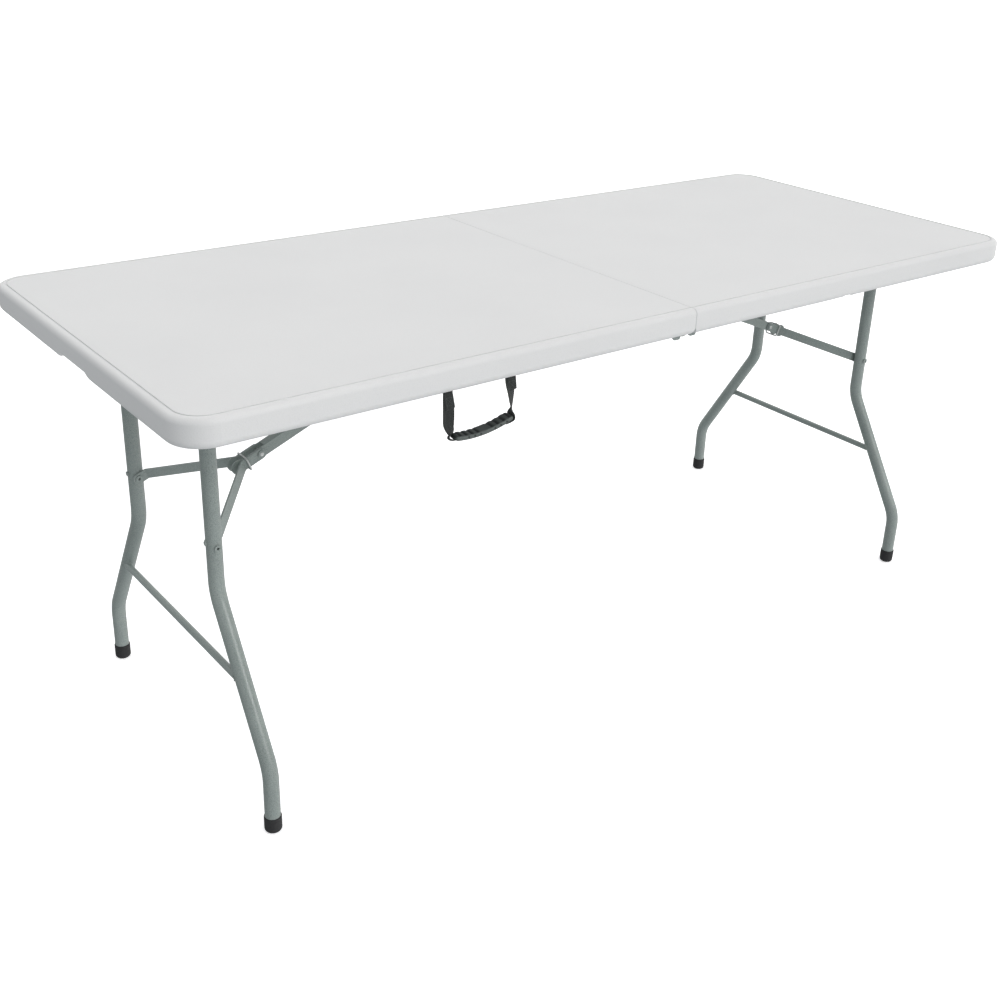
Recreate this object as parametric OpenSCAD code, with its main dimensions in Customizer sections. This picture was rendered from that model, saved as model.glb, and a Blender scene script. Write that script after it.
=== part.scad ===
// Bi-fold carrying table: two blow-moulded halves hinged at the seam, steel side
// rails, wishbone leg frames with a knee brace and lock ring, and a carry handle.
// The seam lies on x = 0, the floor on z = 0. Each half is drawn on +X and mirrored.

/* [Table top] */
// Length of the open table
table_len = 1800; // [1640:10:2000]
// Width of the table
table_wid = 740; // [720:5:800]
// Height of the worktop above the floor
table_ht = 740; // [720:5:780]
// Depth of the rim, from the worktop to its lower edge
rim_depth = 44; // [43.5:0.5:47]
// Thickness of the panel inside the rim
panel_thick = 16; // [15.5:0.5:17]
// Thickness of the rim wall
rim_w = 20; // [18:0.5:22]
// Radius of the outer corners in plan
corner_r = 55; // [40:1:80]
// Radius of the rim's upper edge
edge_r = 9; // [4:0.5:11]
// Radius of the rim's lower outer edge
tuck_r = 12; // [5:0.5:14]
// Distance of the worktop groove from the outer edge
groove_inset = 14; // [13:0.5:15]
// Radius of the groove's round bottom
groove_r = 1.5; // [1:0.1:1.8]
// Gap between the two halves at the seam
seam_gap = 0.1; // [0.1:0.1:2]
// Radius of the seam's upper edges
seam_r = 1.5; // [0.5:0.1:3]
// Thickness of the wall along the seam
seam_wall = 18; // [14:1:20]
// Gap between the two rims when the table is closed
closed_gap = 1.5; // [1:0.1:2]
// Depth of the brace trough
trough_depth = 10.5; // [10.5:0.1:11]
// Length of the hand notch in each end rim
hand_notch_len = 96; // [80:1:120]
// Depth of the hand notch
hand_notch_depth = 13; // [8:0.5:15]
// Radius of the hand notch's corners
hand_notch_r = 8; // [4:0.5:10]
// Distance of the latch notch in the near rim from the seam
latch_notch_x = 401; // [380:1:420]
// Length of the latch notch in the near rim
latch_notch_len = 28; // [20:1:36]
// Depth of the latch notch
latch_notch_depth = 5; // [3:0.5:7]

/* [Side rails] */
// Width and height of the square rail tube
rail_size = 20; // [18:0.5:22]
// Wall of the rail tube
rail_wall = 1.5; // [1:0.1:2.5]
// Gap between the rail and the rim, which holds the seam hinges
hinge_bay = 8; // [7.4:0.1:9]
// Distance of the rail's outer end from the end of the table
rail_end_inset = 46; // [40:1:70]
// Distance of the rail's inner end from the seam
rail_seam_inset = 22; // [20:1:30]

/* [Seam hinges] */
// Thickness of a hinge leaf
leaf_thick = 3; // [2:0.2:3.2]
// Radius of the outer leaf's eye
eye_r = 13; // [10:0.5:14]
// Distance between the two pins of a hinge
hinge_pitch = 12; // [11:0.5:14]
// Radius of the hinge pin
hinge_pin_r = 4; // [3:0.5:5]
// Radius of the pin's heads
hinge_head_r = 5.5; // [5.1:0.1:5.6]
// Thickness of the pin's heads
hinge_head_t = 1.6; // [1:0.1:2]
// Length of a leaf from the seam
leaf_len = 95; // [80:1:120]

/* [Leg frames] */
// Distance of the leg pivot from the end of the table
leg_inset = 132; // [120:1:145]
// Outer diameter of the leg tube
leg_d = 25; // [24:0.2:25.4]
// Wall of the leg tube
leg_wall = 1.4; // [1:0.1:2]
// Outer diameter of the pivot tube across the top
pivot_d = 22; // [20:0.5:23]
// Clearance of the folded legs under the panel
leg_clear = 1.5; // [1.2:0.1:2]
// Half distance between the legs at the top
leg_y_top = 148; // [135:1:165]
// Half distance between the legs at the feet
leg_y_foot = 298; // [280:1:300]
// Distance of the upper bend below the brace bolts
bend_drop = 80; // [60:2:110]
// Height of the lower bend above the floor
bend_z_low = 112; // [95:1:130]
// Radius of the bends on the centre line
bend_r = 75; // [60:1:90]
// Height of the crossbar above the floor
crossbar_z = 239; // [200:1:250]
// Outer diameter of the crossbar
crossbar_d = 12; // [10:0.5:12.4]
// Wall of the crossbar
crossbar_wall = 1.2; // [1:0.1:2]
// Height of a foot cap
foot_h = 28; // [25:1:40]
// Wall of a foot cap around the tube
foot_wall = 1.5; // [1.2:0.1:1.6]
// Thickness of a foot cap under the tube
foot_floor = 4; // [3:0.5:6]
// Radius around a foot cap's sole
sole_r = 6; // [3:0.5:7]

/* [Brace] */
// Distance of the brace bolts below the leg pivot
brace_drop = 274; // [250:1:290]
// Distance of the arm's root from the seam
arm_root = 73; // [65:1:85]
// Height of the folded arm's axis above the leg pivot
arm_rise = 9; // [8.8:0.1:9.2]
// Height of the arm's channel section
arm_h = 18; // [17:0.2:18.4]
// Width of the arm's channel section
arm_w = 18; // [16:0.2:18.4]
// Wall of the arm's channel
arm_wall = 2; // [1.5:0.1:2.5]
// Length of the arm's tip beyond the knee rivet
arm_tip = 55; // [54:1:58]
// Radius of the round lugs at the arm's tip, which stop the lock ring
lug_r = 13; // [11:0.2:13.4]
// Height of a V bar
bar_h = 18; // [16:0.2:18.4]
// Thickness of a V bar
bar_t = 3; // [2:0.2:3.2]
// Radius of the knee rivet
knee_r = 3.5; // [2.5:0.1:4.5]
// Radius of the rivet heads
head_r = 6; // [5:0.2:7]
// Thickness of the knee rivet's heads
knee_head_t = 1.5; // [1:0.1:1.6]
// Radius of the brace bolts
bolt_r = 4; // [3:0.2:4.4]
// Radius of the bolt heads
bolt_head_r = 5.4; // [5.2:0.1:7]
// Thickness of the bolt heads
bolt_head_t = 2.4; // [2:0.2:4]
// Radius of the arm's root pin
root_pin_r = 4; // [3:0.2:5]
// Distance of the lock ring from the knee, towards the legs
ring_rest = 27; // [24:1:29]
// Diameter of the ring's wire
ring_wire = 2.8; // [2.2:0.1:2.8]
// Half height inside the lock ring
ring_half_h = 10.8; // [10.6:0.2:14.6]
// Half width inside the lock ring
ring_half_w = 14.6; // [14.4:0.1:16]

/* [Carry handle] */
// Distance of the handle's middle from the seam
handle_x = 432; // [390:1:460]
// Distance between the middles of the two straps
strap_span = 112; // [106:1:140]
// Width of the webbing
strap_w = 20; // [18:0.5:28]
// Thickness of the webbing
strap_t = 2; // [1.6:0.1:2.2]
// Mean drop of the straps from the rim to the grip
strap_drop = 62.5; // [58:0.5:85]
// Extra drop of the strap farther from the seam; the other is as much shorter
strap_lean = 4.5; // [0:0.5:6]
// Distance of the strap's bend from the rim's outer face
strap_inset = 12; // [10:0.5:14]
// Width of the grip across
grip_w = 22; // [18:0.5:24]
// Thickness of the grip
grip_t = 10; // [8:0.5:14]
// Sag of the grip's middle below its ends
grip_sag = 8; // [5:0.5:14]
// Number of grooves in each group on the grip
grip_grooves = 4; // [2:1:5]

/* [Hidden] */
$fn = 64;

// Clearances
run_clear = 0.06;     // radial, shaft in a bore
side_clear = 0.3;     // between faces of moving parts
fit_clear = 0.02;     // radial, fixed pin in its hole

// Main heights and half sizes
half_len = table_len / 2;
half_wid = table_wid / 2;
rim_z = table_ht - rim_depth;
panel_z = table_ht - panel_thick;
hinge_x = hinge_pitch / 2;
hinge_z = rim_z + hinge_x - closed_gap / 2;
seam_x = seam_gap / 2;
leg_x = half_len - leg_inset;
leg_r = leg_d / 2;
pivot_r = pivot_d / 2;
pivot_z = panel_z - leg_clear - leg_r;
brace_z = pivot_z - brace_drop;
bend_z_high = brace_z - bend_drop;
rim_in_y = half_wid - rim_w;
rail_out_y = rim_in_y - hinge_bay;
rail_in_y = rail_out_y - rail_size;
rail_z = panel_z - rail_size;

// Brace linkage, in the plane u (towards the seam) and w (up) from the leg pivot.
// The knee is straight when open. When folded, the arm lies level at arm_rise.
root_u = leg_x - arm_root;
open_span = sqrt(pow(root_u, 2) + pow(brace_drop + arm_rise, 2));
arm_reach = brace_drop * (root_u + arm_rise) / (open_span - root_u + brace_drop);
v_reach = open_span - arm_reach;
arm_slope = atan((brace_drop + arm_rise) / root_u);
root_z = pivot_z + arm_rise;
knee_x = arm_root + arm_reach * cos(arm_slope);
knee_z = root_z - arm_reach * sin(arm_slope);
bar_in_y = arm_w / 2 + side_clear;
bar_out_y = bar_in_y + bar_t;
tab_out_y = leg_y_top - leg_r - side_clear;
tab_in_y = tab_out_y - bar_t;
bar_straight = 36;    // straight part of a V bar beside the arm
tab_len = 15;         // straight part of a V bar beside the leg
bar_bend_x = v_reach - tab_len;
bar_slant = atan((tab_in_y - bar_in_y) / (bar_bend_x - bar_straight));
bar_miter = bar_t * tan(bar_slant / 2);
arm_slot_start = -12;   // the open top of the arm's tip, from the knee
rivet_seat_gap = 0.1;   // between a V bar and the knee rivet's head
v_rivet_head_t = 2;
rivet_bore_r = 2.2;     // hollow end of the rivets at the legs
rivet_bore_deep = 5;

// When folded, the V bars sink from the trough to below the panel at sink_x from the
// knee, and the trough is as wide as the bars there
fold_tilt = asin(arm_rise / v_reach);
sink_x = (arm_rise + bar_h / 2 * cos(fold_tilt) - (panel_z - pivot_z) + side_clear) / sin(fold_tilt);
trough_half = bar_out_y + (sink_x - bar_straight + bar_miter) * tan(bar_slant) + 1;
ring_drop = ring_half_h - arm_h / 2 - side_clear;   // the ring hangs on the arm
ring_bend = 5;        // radius of the ring's corners on the wire's centre line

// Wishbone bends
splay = atan((leg_y_foot - leg_y_top) / (bend_z_high - bend_z_low));
bend_cut = bend_r * tan(splay / 2);
bend_swell = 0.05;    // the tube is this much wider through a bend
bend_lap = 0.3;       // length of each straight inside the bend
pivot_end_gap = 2;    // from the pivot tube's end to the rim
sleeve_rivet_r = 2.4; // small rivet above the brace bolts, on the outside of the leg
sleeve_head_r = 3.8;
sleeve_head_t = 2.2;
sleeve_rivet_up = 7;

// Hinge leaf planes: the right leaves lie inside, the left leaves outside. The link
// that carries both pins lies inside the leaves.
leaf_in_y = rail_out_y;
leaf_out_y = leaf_in_y + leaf_thick + side_clear;
inner_eye_r = hinge_pitch - hinge_pin_r - side_clear;
link_r = 8;
link_t = 3;
link_out_y = leaf_in_y - side_clear;
link_in_y = link_out_y - link_t;
leaf_heel = 8;          // the leaf's lower edge meets the rail this far past its end
leaf_toe_r = 5;         // the toe below a leaf's eye, which covers the joint from outside
leaf_toe_x = [10.5, 17];  // its round ends, from the pin away from the seam
leaf_toe_drop = 12;     // its round ends, below the pin
spacer_inset = 12;      // from the rail's inner end to the leaf's spacer

// Screws: spread along the rails between the seam leaf and the rail's outer end
rail_screws = 5;
rail_screw_first = leaf_len + 35;
rail_screw_last = half_len - rail_end_inset - 74;
rail_screw_step = (rail_screw_last - rail_screw_first) / (rail_screws - 1);
screw_r = 2.5;
screw_head_r = 5;
screw_head_t = 2.4;
screw_bite = 9;         // reach into the panel
trough_bite = 3;        // reach into the thinner panel over the trough
screw_hole_end = 0.02;  // the hole is this much deeper than the screw

// Saddles of the pivot tube, and the arm's bracket with its two ears
saddle_wall = 2;
saddle_len = 22;
saddle_foot = 3;
saddle_foot_half = 32;
foot_screw_inset = 8;   // from the end of a saddle's foot or of a bracket's base
bracket_base_t = 3;
bracket_half_x = 22;
bracket_half_y = 40;
bracket_screw_y = 30;
ear_t = 3;
ear_in_y = arm_w / 2 + side_clear + 0.2;
ear_out_y = ear_in_y + ear_t;
pin_head_t = 2;
pin_head_over = 2;      // the pin's heads are this much wider than the pin
pin_cap_t = 1;          // the hinge pin's outer head

// Moulded top
lip_r = 3;              // radius of the rim's lower inner edge
panel_lap = 1;          // the panel and the seam wall run this far into what carries them
seam_wall_y = link_in_y - hinge_head_t - 1;
seam_bevel = 6.5;       // width of the bevel along the lower edge of the seam
seam_bevel_over = 6;    // the bevel ends this far above the hinge pins
notch_flare = 1.6;      // slope of the hand notch's ends, run over rise
slot_side = 2;          // the rim's slot is this much wider than the strap, each side
trough_stop = 24;       // from the trough's end to the pivot tube

// Handle
strap_x = [handle_x - strap_span / 2, handle_x + strap_span / 2];
strap_fall = [strap_drop - strap_lean, strap_drop + strap_lean];
strap_y = half_wid - strap_inset;
strap_slot = 2.5;
anchor_h = 18;
strap_top = rim_z + 0.25;
grip_z = strap_top - strap_drop;
grip_lean = atan(2 * strap_lean / strap_span);
groove_cut_r = 1.6;     // radius of the grooves across the grip
groove_margin = 3;      // steps left plain at the grip's middle
grip_arc_r = (pow(strap_span / 2, 2) + pow(grip_sag, 2)) / (2 * grip_sag);
grip_half_angle = asin((strap_span / 2) / grip_arc_r);

white = [0.88, 0.89, 0.88];
steel = [0.47, 0.52, 0.50];
zinc = [0.75, 0.76, 0.76];
black = [0.12, 0.13, 0.13];
eps = 0.01;

// ---- helpers -------------------------------------------------------------

// A piece drawn on the right half, mirrored to the left half when side is -1
module on_side(side) {
  if (side < 0) mirror([1, 0, 0]) children();
  else children();
}

// A cylinder along Y from y0 to y1, centred on x and z
module y_rod(r, y0, y1, x = 0, z = 0) {
  translate([x, y1, z]) rotate([90, 0, 0]) cylinder(r = r, h = y1 - y0);
}

// The cut that rounds a corner at the origin, whose material lies at -x and -y
module round_cut(r) {
  translate([-r, -r]) difference() {
    square(r + 1);
    circle(r);
  }
}

// ---- table top -----------------------------------------------------------

// Section of the rim: x is outward from the outer face, y is up from the lower edge
module rim_section() {
  difference() {
    translate([-rim_w, 0]) square([rim_w, rim_depth]);
    translate([0, rim_depth]) round_cut(edge_r);
    mirror([0, 1]) round_cut(tuck_r);
    translate([-rim_w, 0]) rotate(180) round_cut(lip_r);
    translate([-groove_inset, rim_depth]) circle(groove_r, $fn = 32);
  }
}

// Plan of the panel inside the rim, on the right half
module panel_plan() {
  r = corner_r - rim_w + panel_lap;
  x1 = half_len - rim_w + panel_lap;
  y1 = rim_in_y + panel_lap;
  translate([seam_x, -y1]) square([x1 - r - seam_x, 2 * y1]);
  translate([seam_x, r - y1]) square([x1 - seam_x, 2 * (y1 - r)]);
  for (s = [-1, 1]) translate([x1 - r, s * (y1 - r)]) circle(r);
}

// One moulded half without its notches
module top_body() {
  corner_x = half_len - corner_r;
  corner_y = half_wid - corner_r;
  translate([0, 0, panel_z]) linear_extrude(panel_thick) panel_plan();
  translate([0, 0, rim_z]) {
    for (s = [0, 1]) mirror([0, s, 0]) {
      translate([seam_x, half_wid, 0]) rotate([90, 0, 90])
        linear_extrude(corner_x - seam_x) rim_section();
      translate([corner_x, corner_y, 0])
        rotate_extrude(angle = 90) translate([corner_r, 0]) rim_section();
    }
    translate([half_len, corner_y, 0]) rotate([90, 0, 0])
      linear_extrude(2 * corner_y) rim_section();
  }
  translate([seam_x, -seam_wall_y, rim_z])
    cube([seam_wall, 2 * seam_wall_y, rim_depth - panel_thick + panel_lap]);
}

// The round along the seam's edge: across the top, over the rim's edge, down its side
module seam_round() {
  edge_y = half_wid - edge_r;
  translate([seam_x, edge_y, table_ht]) rotate([90, 0, 0])
    linear_extrude(2 * edge_y) mirror([1, 0]) round_cut(seam_r);
  for (s = [0, 1]) mirror([0, s, 0]) {
    translate([seam_x, edge_y, table_ht - edge_r]) rotate([90, 0, 90])
      rotate_extrude(angle = 90) translate([edge_r, 0]) mirror([0, 1]) round_cut(seam_r);
    translate([seam_x, half_wid, rim_z - 1]) rotate([0, 0, 90])
      linear_extrude(rim_depth - edge_r + 1) round_cut(seam_r);
  }
}

// The bevel along the lower edge of the seam, which the other half turns past
module seam_bevels() {
  h = hinge_z - rim_z + seam_bevel_over;
  translate([0, half_wid + 1, rim_z]) rotate([90, 0, 0]) linear_extrude(table_wid + 2)
    polygon([[-1, -1], [seam_x + seam_bevel, -1], [seam_x + seam_bevel, 0], [seam_x, h], [-1, h]]);
}

// The trough that the folded brace lies in
module brace_trough() {
  x0 = seam_x + seam_wall;
  x1 = leg_x - pivot_r - trough_stop;
  translate([x0, -trough_half, panel_z - 1])
    cube([x1 - x0, 2 * trough_half, trough_depth + 1]);
}

// The hand notch in the end rim, as a cut along X with rounded corners
module hand_notch() {
  flare = notch_flare * hand_notch_depth;
  half = hand_notch_len / 2;
  below = 3 * hand_notch_r;
  translate([half_len - rim_w - 1, 0, rim_z]) rotate([90, 0, 90]) linear_extrude(rim_w + 2)
    offset(r = hand_notch_r) offset(delta = -hand_notch_r)
      offset(r = -hand_notch_r) offset(delta = hand_notch_r) polygon([
        [-half - flare - below, -below], [half + flare + below, -below],
        [half + flare + below, 0], [half + flare, 0], [half, hand_notch_depth],
        [-half, hand_notch_depth], [-half - flare, 0], [-half - flare - below, 0]]);
}

// The slots in the near rim that the straps leave through
module strap_slots() {
  for (x = strap_x)
    translate([x - strap_w / 2 - slot_side, -half_wid - 1, rim_z - 1])
      cube([strap_w + 2 * slot_side, rim_w + 2, strap_slot + 1]);
}

module screw_holes(side) {
  for (p = screw_places(side)) translate([p[0], p[1], p[2] - 1])
    cylinder(r = screw_r + fit_clear, h = p[3] + 1 + screw_hole_end, $fn = 24);
}

module top_half(side) {
  color(white) on_side(side) difference() {
    top_body();
    seam_round();
    seam_bevels();
    brace_trough();
    hand_notch();
    strap_slots();
    if (side > 0) translate([latch_notch_x - latch_notch_len / 2, -half_wid - 1, rim_z - 1])
      cube([latch_notch_len, rim_w + 2, latch_notch_depth + 1]);
    screw_holes(side);
  }
}

// ---- side rails, saddles, brackets and screws -------------------------------

// Places of the screws on the half: x, y, height of the head's seat, reach above it
function screw_places(side) = [
  for (k = [0:rail_screws - 1], s = [-1, 1])
    [rail_screw_first + k * rail_screw_step, s * (rail_in_y + rail_size / 2),
      rail_z, rail_size + screw_bite],
  for (k = [-1, 1], s = [-1, 1])
    [leg_x + k * (saddle_foot_half - foot_screw_inset), s * (rail_in_y - saddle_len / 2),
      panel_z - saddle_foot, saddle_foot + screw_bite],
  for (k = [-1, 1], s = [-1, 1])
    [arm_root + k * (bracket_half_x - foot_screw_inset), s * bracket_screw_y,
      panel_z + trough_depth - bracket_base_t, bracket_base_t + trough_bite]];

module rails(side) {
  x0 = rail_seam_inset;
  x1 = half_len - rail_end_inset;
  color(steel) on_side(side) difference() {
    for (s = [-1, 1]) translate([x0, s * (rail_in_y + rail_size / 2) - rail_size / 2, rail_z])
      difference() {
        cube([x1 - x0, rail_size, rail_size]);
        translate([-1, rail_wall, rail_wall])
          cube([x1 - x0 + 2, rail_size - 2 * rail_wall, rail_size - 2 * rail_wall]);
      }
    screw_holes(side);
  }
}

// A saddle that carries the pivot tube's end under the panel
module pivot_saddles(side) {
  outer = pivot_r + run_clear + saddle_wall;
  color(steel) on_side(side) difference() {
    for (s = [0, 1]) mirror([0, s, 0]) {
      y0 = rail_in_y - saddle_len;
      y_rod(outer, y0, rail_in_y, leg_x, pivot_z);
      translate([leg_x - outer, y0, pivot_z]) cube([2 * outer, saddle_len, panel_z - pivot_z]);
      translate([leg_x - saddle_foot_half, y0, panel_z - saddle_foot])
        cube([2 * saddle_foot_half, saddle_len, saddle_foot]);
    }
    y_rod(pivot_r + run_clear, -half_wid, half_wid, leg_x, pivot_z);
    screw_holes(side);
  }
}

// The bracket in the trough that carries the arm's root pin between two ears
module arm_bracket(side) {
  base_z = panel_z + trough_depth - bracket_base_t;
  ear_r = root_pin_r + 5;
  color(steel) on_side(side) difference() {
    union() {
      translate([arm_root - bracket_half_x, -bracket_half_y, base_z])
        cube([2 * bracket_half_x, 2 * bracket_half_y, bracket_base_t]);
      for (s = [0, 1]) mirror([0, s, 0]) {
        y_rod(ear_r, ear_in_y, ear_out_y, arm_root, root_z);
        translate([arm_root - ear_r, ear_in_y, root_z])
          cube([2 * ear_r, ear_t, base_z - root_z + eps]);
      }
    }
    y_rod(root_pin_r + fit_clear, -half_wid, half_wid, arm_root, root_z);
    screw_holes(side);
  }
}

module arm_root_pin(side) {
  color(zinc) on_side(side) {
    y_rod(root_pin_r, -ear_out_y - eps, ear_out_y + eps, arm_root, root_z);
    for (s = [0, 1]) mirror([0, s, 0])
      y_rod(root_pin_r + pin_head_over, ear_out_y, ear_out_y + pin_head_t, arm_root, root_z);
  }
}

module screws(side) {
  color(zinc) on_side(side) for (p = screw_places(side)) {
    translate([p[0], p[1], p[2] - screw_head_t]) cylinder(r = screw_head_r, h = screw_head_t, $fn = 24);
    translate([p[0], p[1], p[2] - eps]) cylinder(r = screw_r, h = p[3], $fn = 24);
  }
}

// ---- seam hinges ------------------------------------------------------------

// Outline of a leaf: an eye of radius r on the hinge pin, an arm along the rail and a
// rounded toe below, clear of where the other pin turns
module leaf_outline(r) {
  translate([hinge_x, hinge_z]) circle(r);
  for (x = leaf_toe_x) translate([hinge_x + x, hinge_z - leaf_toe_drop]) circle(leaf_toe_r, $fn = 32);
  polygon([[hinge_x + leaf_toe_x[0], hinge_z - leaf_toe_drop - leaf_toe_r],
    [hinge_x + leaf_toe_x[1], hinge_z - leaf_toe_drop - leaf_toe_r],
    [rail_seam_inset + leaf_heel, rail_z], [hinge_x, hinge_z],
    [hinge_x + leaf_toe_x[0] - leaf_toe_r, hinge_z - leaf_toe_drop]]);
  polygon([[hinge_x, hinge_z - r], [rail_seam_inset + leaf_heel, rail_z], [leaf_len, rail_z],
    [leaf_len, panel_z], [rail_seam_inset, panel_z], [hinge_x, hinge_z + r]]);
}

// A plate of the given thickness from y0 outward, drawn in the XZ plane
module leaf_plate(y0, thick) {
  translate([0, y0 + thick, 0]) rotate([90, 0, 0]) linear_extrude(thick) children();
}

module hinge_leaves(side) {
  y0 = side > 0 ? leaf_in_y : leaf_out_y;
  r = side > 0 ? inner_eye_r : eye_r;
  color(steel) on_side(side) for (s = [0, 1]) mirror([0, s, 0]) {
    difference() {
      leaf_plate(y0, leaf_thick) leaf_outline(r);
      y_rod(hinge_pin_r + run_clear, y0 - 1, y0 + leaf_thick + 1, hinge_x, hinge_z);
    }
    if (side < 0) translate([rail_seam_inset + spacer_inset, rail_out_y, rail_z])
      cube([leaf_len - rail_seam_inset - spacer_inset, y0 - rail_out_y + eps, rail_size]);
  }
}

// The bars that join the two pins of each hinge
module hinge_links() {
  color(steel) for (s = [0, 1]) mirror([0, s, 0]) difference() {
    leaf_plate(link_in_y, link_t) {
      for (x = [-hinge_x, hinge_x]) translate([x, hinge_z]) circle(link_r);
      translate([-hinge_x, hinge_z - link_r]) square([hinge_pitch, 2 * link_r]);
    }
    for (x = [-hinge_x, hinge_x])
      y_rod(hinge_pin_r + fit_clear, link_in_y - 1, link_out_y + 1, x, hinge_z);
  }
}

// A pin with its head inside the link, which reaches out to y1
module hinge_pin(x, y1) {
  y_rod(hinge_pin_r, link_in_y - eps, y1, x, hinge_z);
  y_rod(hinge_head_r, link_in_y - hinge_head_t, link_in_y, x, hinge_z);
}

module hinge_pins() {
  outer_y = leaf_out_y + leaf_thick;
  color(zinc) for (s = [0, 1]) mirror([0, s, 0]) {
    hinge_pin(hinge_x, leaf_in_y + leaf_thick);
    hinge_pin(-hinge_x, outer_y + eps);
    y_rod(hinge_head_r, outer_y, outer_y + pin_cap_t, -hinge_x, hinge_z);
  }
}

// ---- leg frames ---------------------------------------------------------------

// A bend of a rod in the YZ plane that starts at the origin along -Z and turns by
// angle towards +Y
module rod_bend(r, radius, angle) {
  translate([0, radius, 0]) rotate([-90, 0, 0]) rotate([0, 90, 0])
    rotate_extrude(angle = angle) translate([radius, 0]) circle(r);
}

// The wishbone path on the +Y side, swept by a rod of radius r, from the pivot
// tube to the foot; over lengthens both ends. The straights end inside the bends.
module leg_path(r, over = 0) {
  straight_len = pivot_z - bend_z_high - bend_cut + bend_lap;
  slant_len = (bend_z_high - bend_z_low) / cos(splay) - 2 * bend_cut + 2 * bend_lap;
  foot_len = bend_z_low - bend_cut - foot_floor + bend_lap;
  translate([leg_x, leg_y_top, bend_z_high + bend_cut - bend_lap])
    cylinder(r = r, h = straight_len + over);
  translate([leg_x, leg_y_top, bend_z_high + bend_cut])
    rod_bend(r + bend_swell, bend_r, splay);
  translate([leg_x, leg_y_top, bend_z_high]) rotate([splay, 0, 0])
    translate([0, 0, bend_lap - bend_cut - slant_len]) cylinder(r = r, h = slant_len);
  translate([leg_x, leg_y_foot, bend_z_low - bend_cut]) rotate([180, 0, 0])
    rod_bend(r + bend_swell, bend_r, splay);
  translate([leg_x, leg_y_foot, foot_floor - over]) cylinder(r = r, h = foot_len + over);
}

// side picks the end of the table, flank the near (-1) or far (1) leg
module leg(side, flank) {
  color(steel) on_side(side) on_flank(flank) difference() {
    leg_path(leg_r);
    leg_path(leg_r - leg_wall, 1);
    y_rod(pivot_r, 0, half_wid, leg_x, pivot_z);
    y_rod(bolt_r + fit_clear, leg_y_top - leg_r - 1, leg_y_top + leg_r + 1, leg_x, brace_z);
    sleeve_rod(sleeve_rivet_r + fit_clear, 1);
  }
}

// A rod along X through the outer wall of the leg on the +Y side, over longer outside
module sleeve_rod(r, over) {
  translate([leg_x + leg_r - leg_wall - 1, leg_y_top, brace_z + sleeve_rivet_up])
    rotate([0, 90, 0]) cylinder(r = r, h = leg_wall + 1 + over);
}

module on_flank(flank) {
  if (flank < 0) mirror([0, 1, 0]) children();
  else children();
}

module pivot_tube(side) {
  half = rail_in_y - pivot_end_gap;
  color(steel) on_side(side) difference() {
    y_rod(pivot_r, -half, half, leg_x, pivot_z);
    y_rod(pivot_r - leg_wall, -half - 1, half + 1, leg_x, pivot_z);
  }
}

// The slanting part of the leg as a solid, which shapes the ends of the crossbar
module slant_solid() {
  translate([leg_x, leg_y_top, bend_z_high]) rotate([splay, 0, 0])
    translate([0, 0, -(bend_z_high - bend_z_low) * 2]) cylinder(r = leg_r, h = (bend_z_high - bend_z_low) * 2);
}

module crossbar(side) {
  bar_x = leg_x + leg_r - crossbar_d / 2;
  bar_y = leg_y_top + (bend_z_high - crossbar_z) * tan(splay);
  color(steel) on_side(side) difference() {
    y_rod(crossbar_d / 2, -bar_y, bar_y, bar_x, crossbar_z);
    y_rod(crossbar_d / 2 - crossbar_wall, -bar_y - 1, bar_y + 1, bar_x, crossbar_z);
    for (s = [0, 1]) mirror([0, s, 0]) slant_solid();
  }
}

// A rubber cap: a cup around the tube with a rounded sole
module foot_cap() {
  r = leg_r + foot_wall;
  rotate_extrude() difference() {
    square([r, foot_h]);
    translate([-1, foot_floor]) square([leg_r + 1, foot_h]);
    translate([r, foot_h]) round_cut(1);
    translate([r, 0]) mirror([0, 1]) round_cut(sole_r);
  }
}

module foot_caps(side) {
  color(black) on_side(side) for (s = [-1, 1])
    translate([leg_x, s * leg_y_foot, 0]) foot_cap();
}

module brace_bolts(side) {
  outer_y = leg_y_top + leg_r;
  color(steel) on_side(side) for (s = [0, 1]) mirror([0, s, 0]) {
    difference() {
      union() {
        y_rod(bolt_r, leg_y_top - leg_r, outer_y + eps, leg_x, brace_z);
        y_rod(bolt_head_r, outer_y, outer_y + bolt_head_t, leg_x, brace_z);
      }
      y_rod(rivet_bore_r, outer_y + bolt_head_t - rivet_bore_deep, outer_y + bolt_head_t + 1,
        leg_x, brace_z);
    }
    sleeve_rod(sleeve_rivet_r, sleeve_head_t / 2);
    translate([leg_x + leg_r, leg_y_top, brace_z + sleeve_rivet_up])
      rotate([0, 90, 0]) cylinder(r = sleeve_head_r, h = sleeve_head_t);
  }
}

// ---- brace: arm, knee, V bars and lock ring -------------------------------------

// Children are drawn with the knee at the origin and +X towards the legs
module at_knee() {
  translate([knee_x, 0, knee_z]) rotate([0, arm_slope, 0]) children();
}

// The arm: an inverted channel from the root pin to the knee. Its tip is open on top
// and ends in two round lugs.
module arm(side) {
  inner = arm_w - 2 * arm_wall;
  color(steel) on_side(side) at_knee() difference() {
    union() {
      translate([-arm_reach, -arm_w / 2, -arm_h / 2])
        cube([arm_reach + arm_tip - lug_r, arm_w, arm_h]);
      y_rod(arm_h / 2, -arm_w / 2, arm_w / 2, -arm_reach, 0);
      y_rod(lug_r, -arm_w / 2, arm_w / 2, arm_tip - lug_r, 0);
    }
    translate([-arm_reach - arm_h, -inner / 2, -lug_r - 1])
      cube([arm_reach + arm_tip + 2 * arm_h, inner, arm_h / 2 - arm_wall + lug_r + 1]);
    translate([arm_slot_start, -inner / 2, 0]) cube([arm_tip + arm_h, inner, 2 * lug_r]);
    y_rod(root_pin_r + run_clear, -arm_w, arm_w, -arm_reach, 0);
    y_rod(knee_r + fit_clear, -arm_w, arm_w, 0, 0);
  }
}

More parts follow.
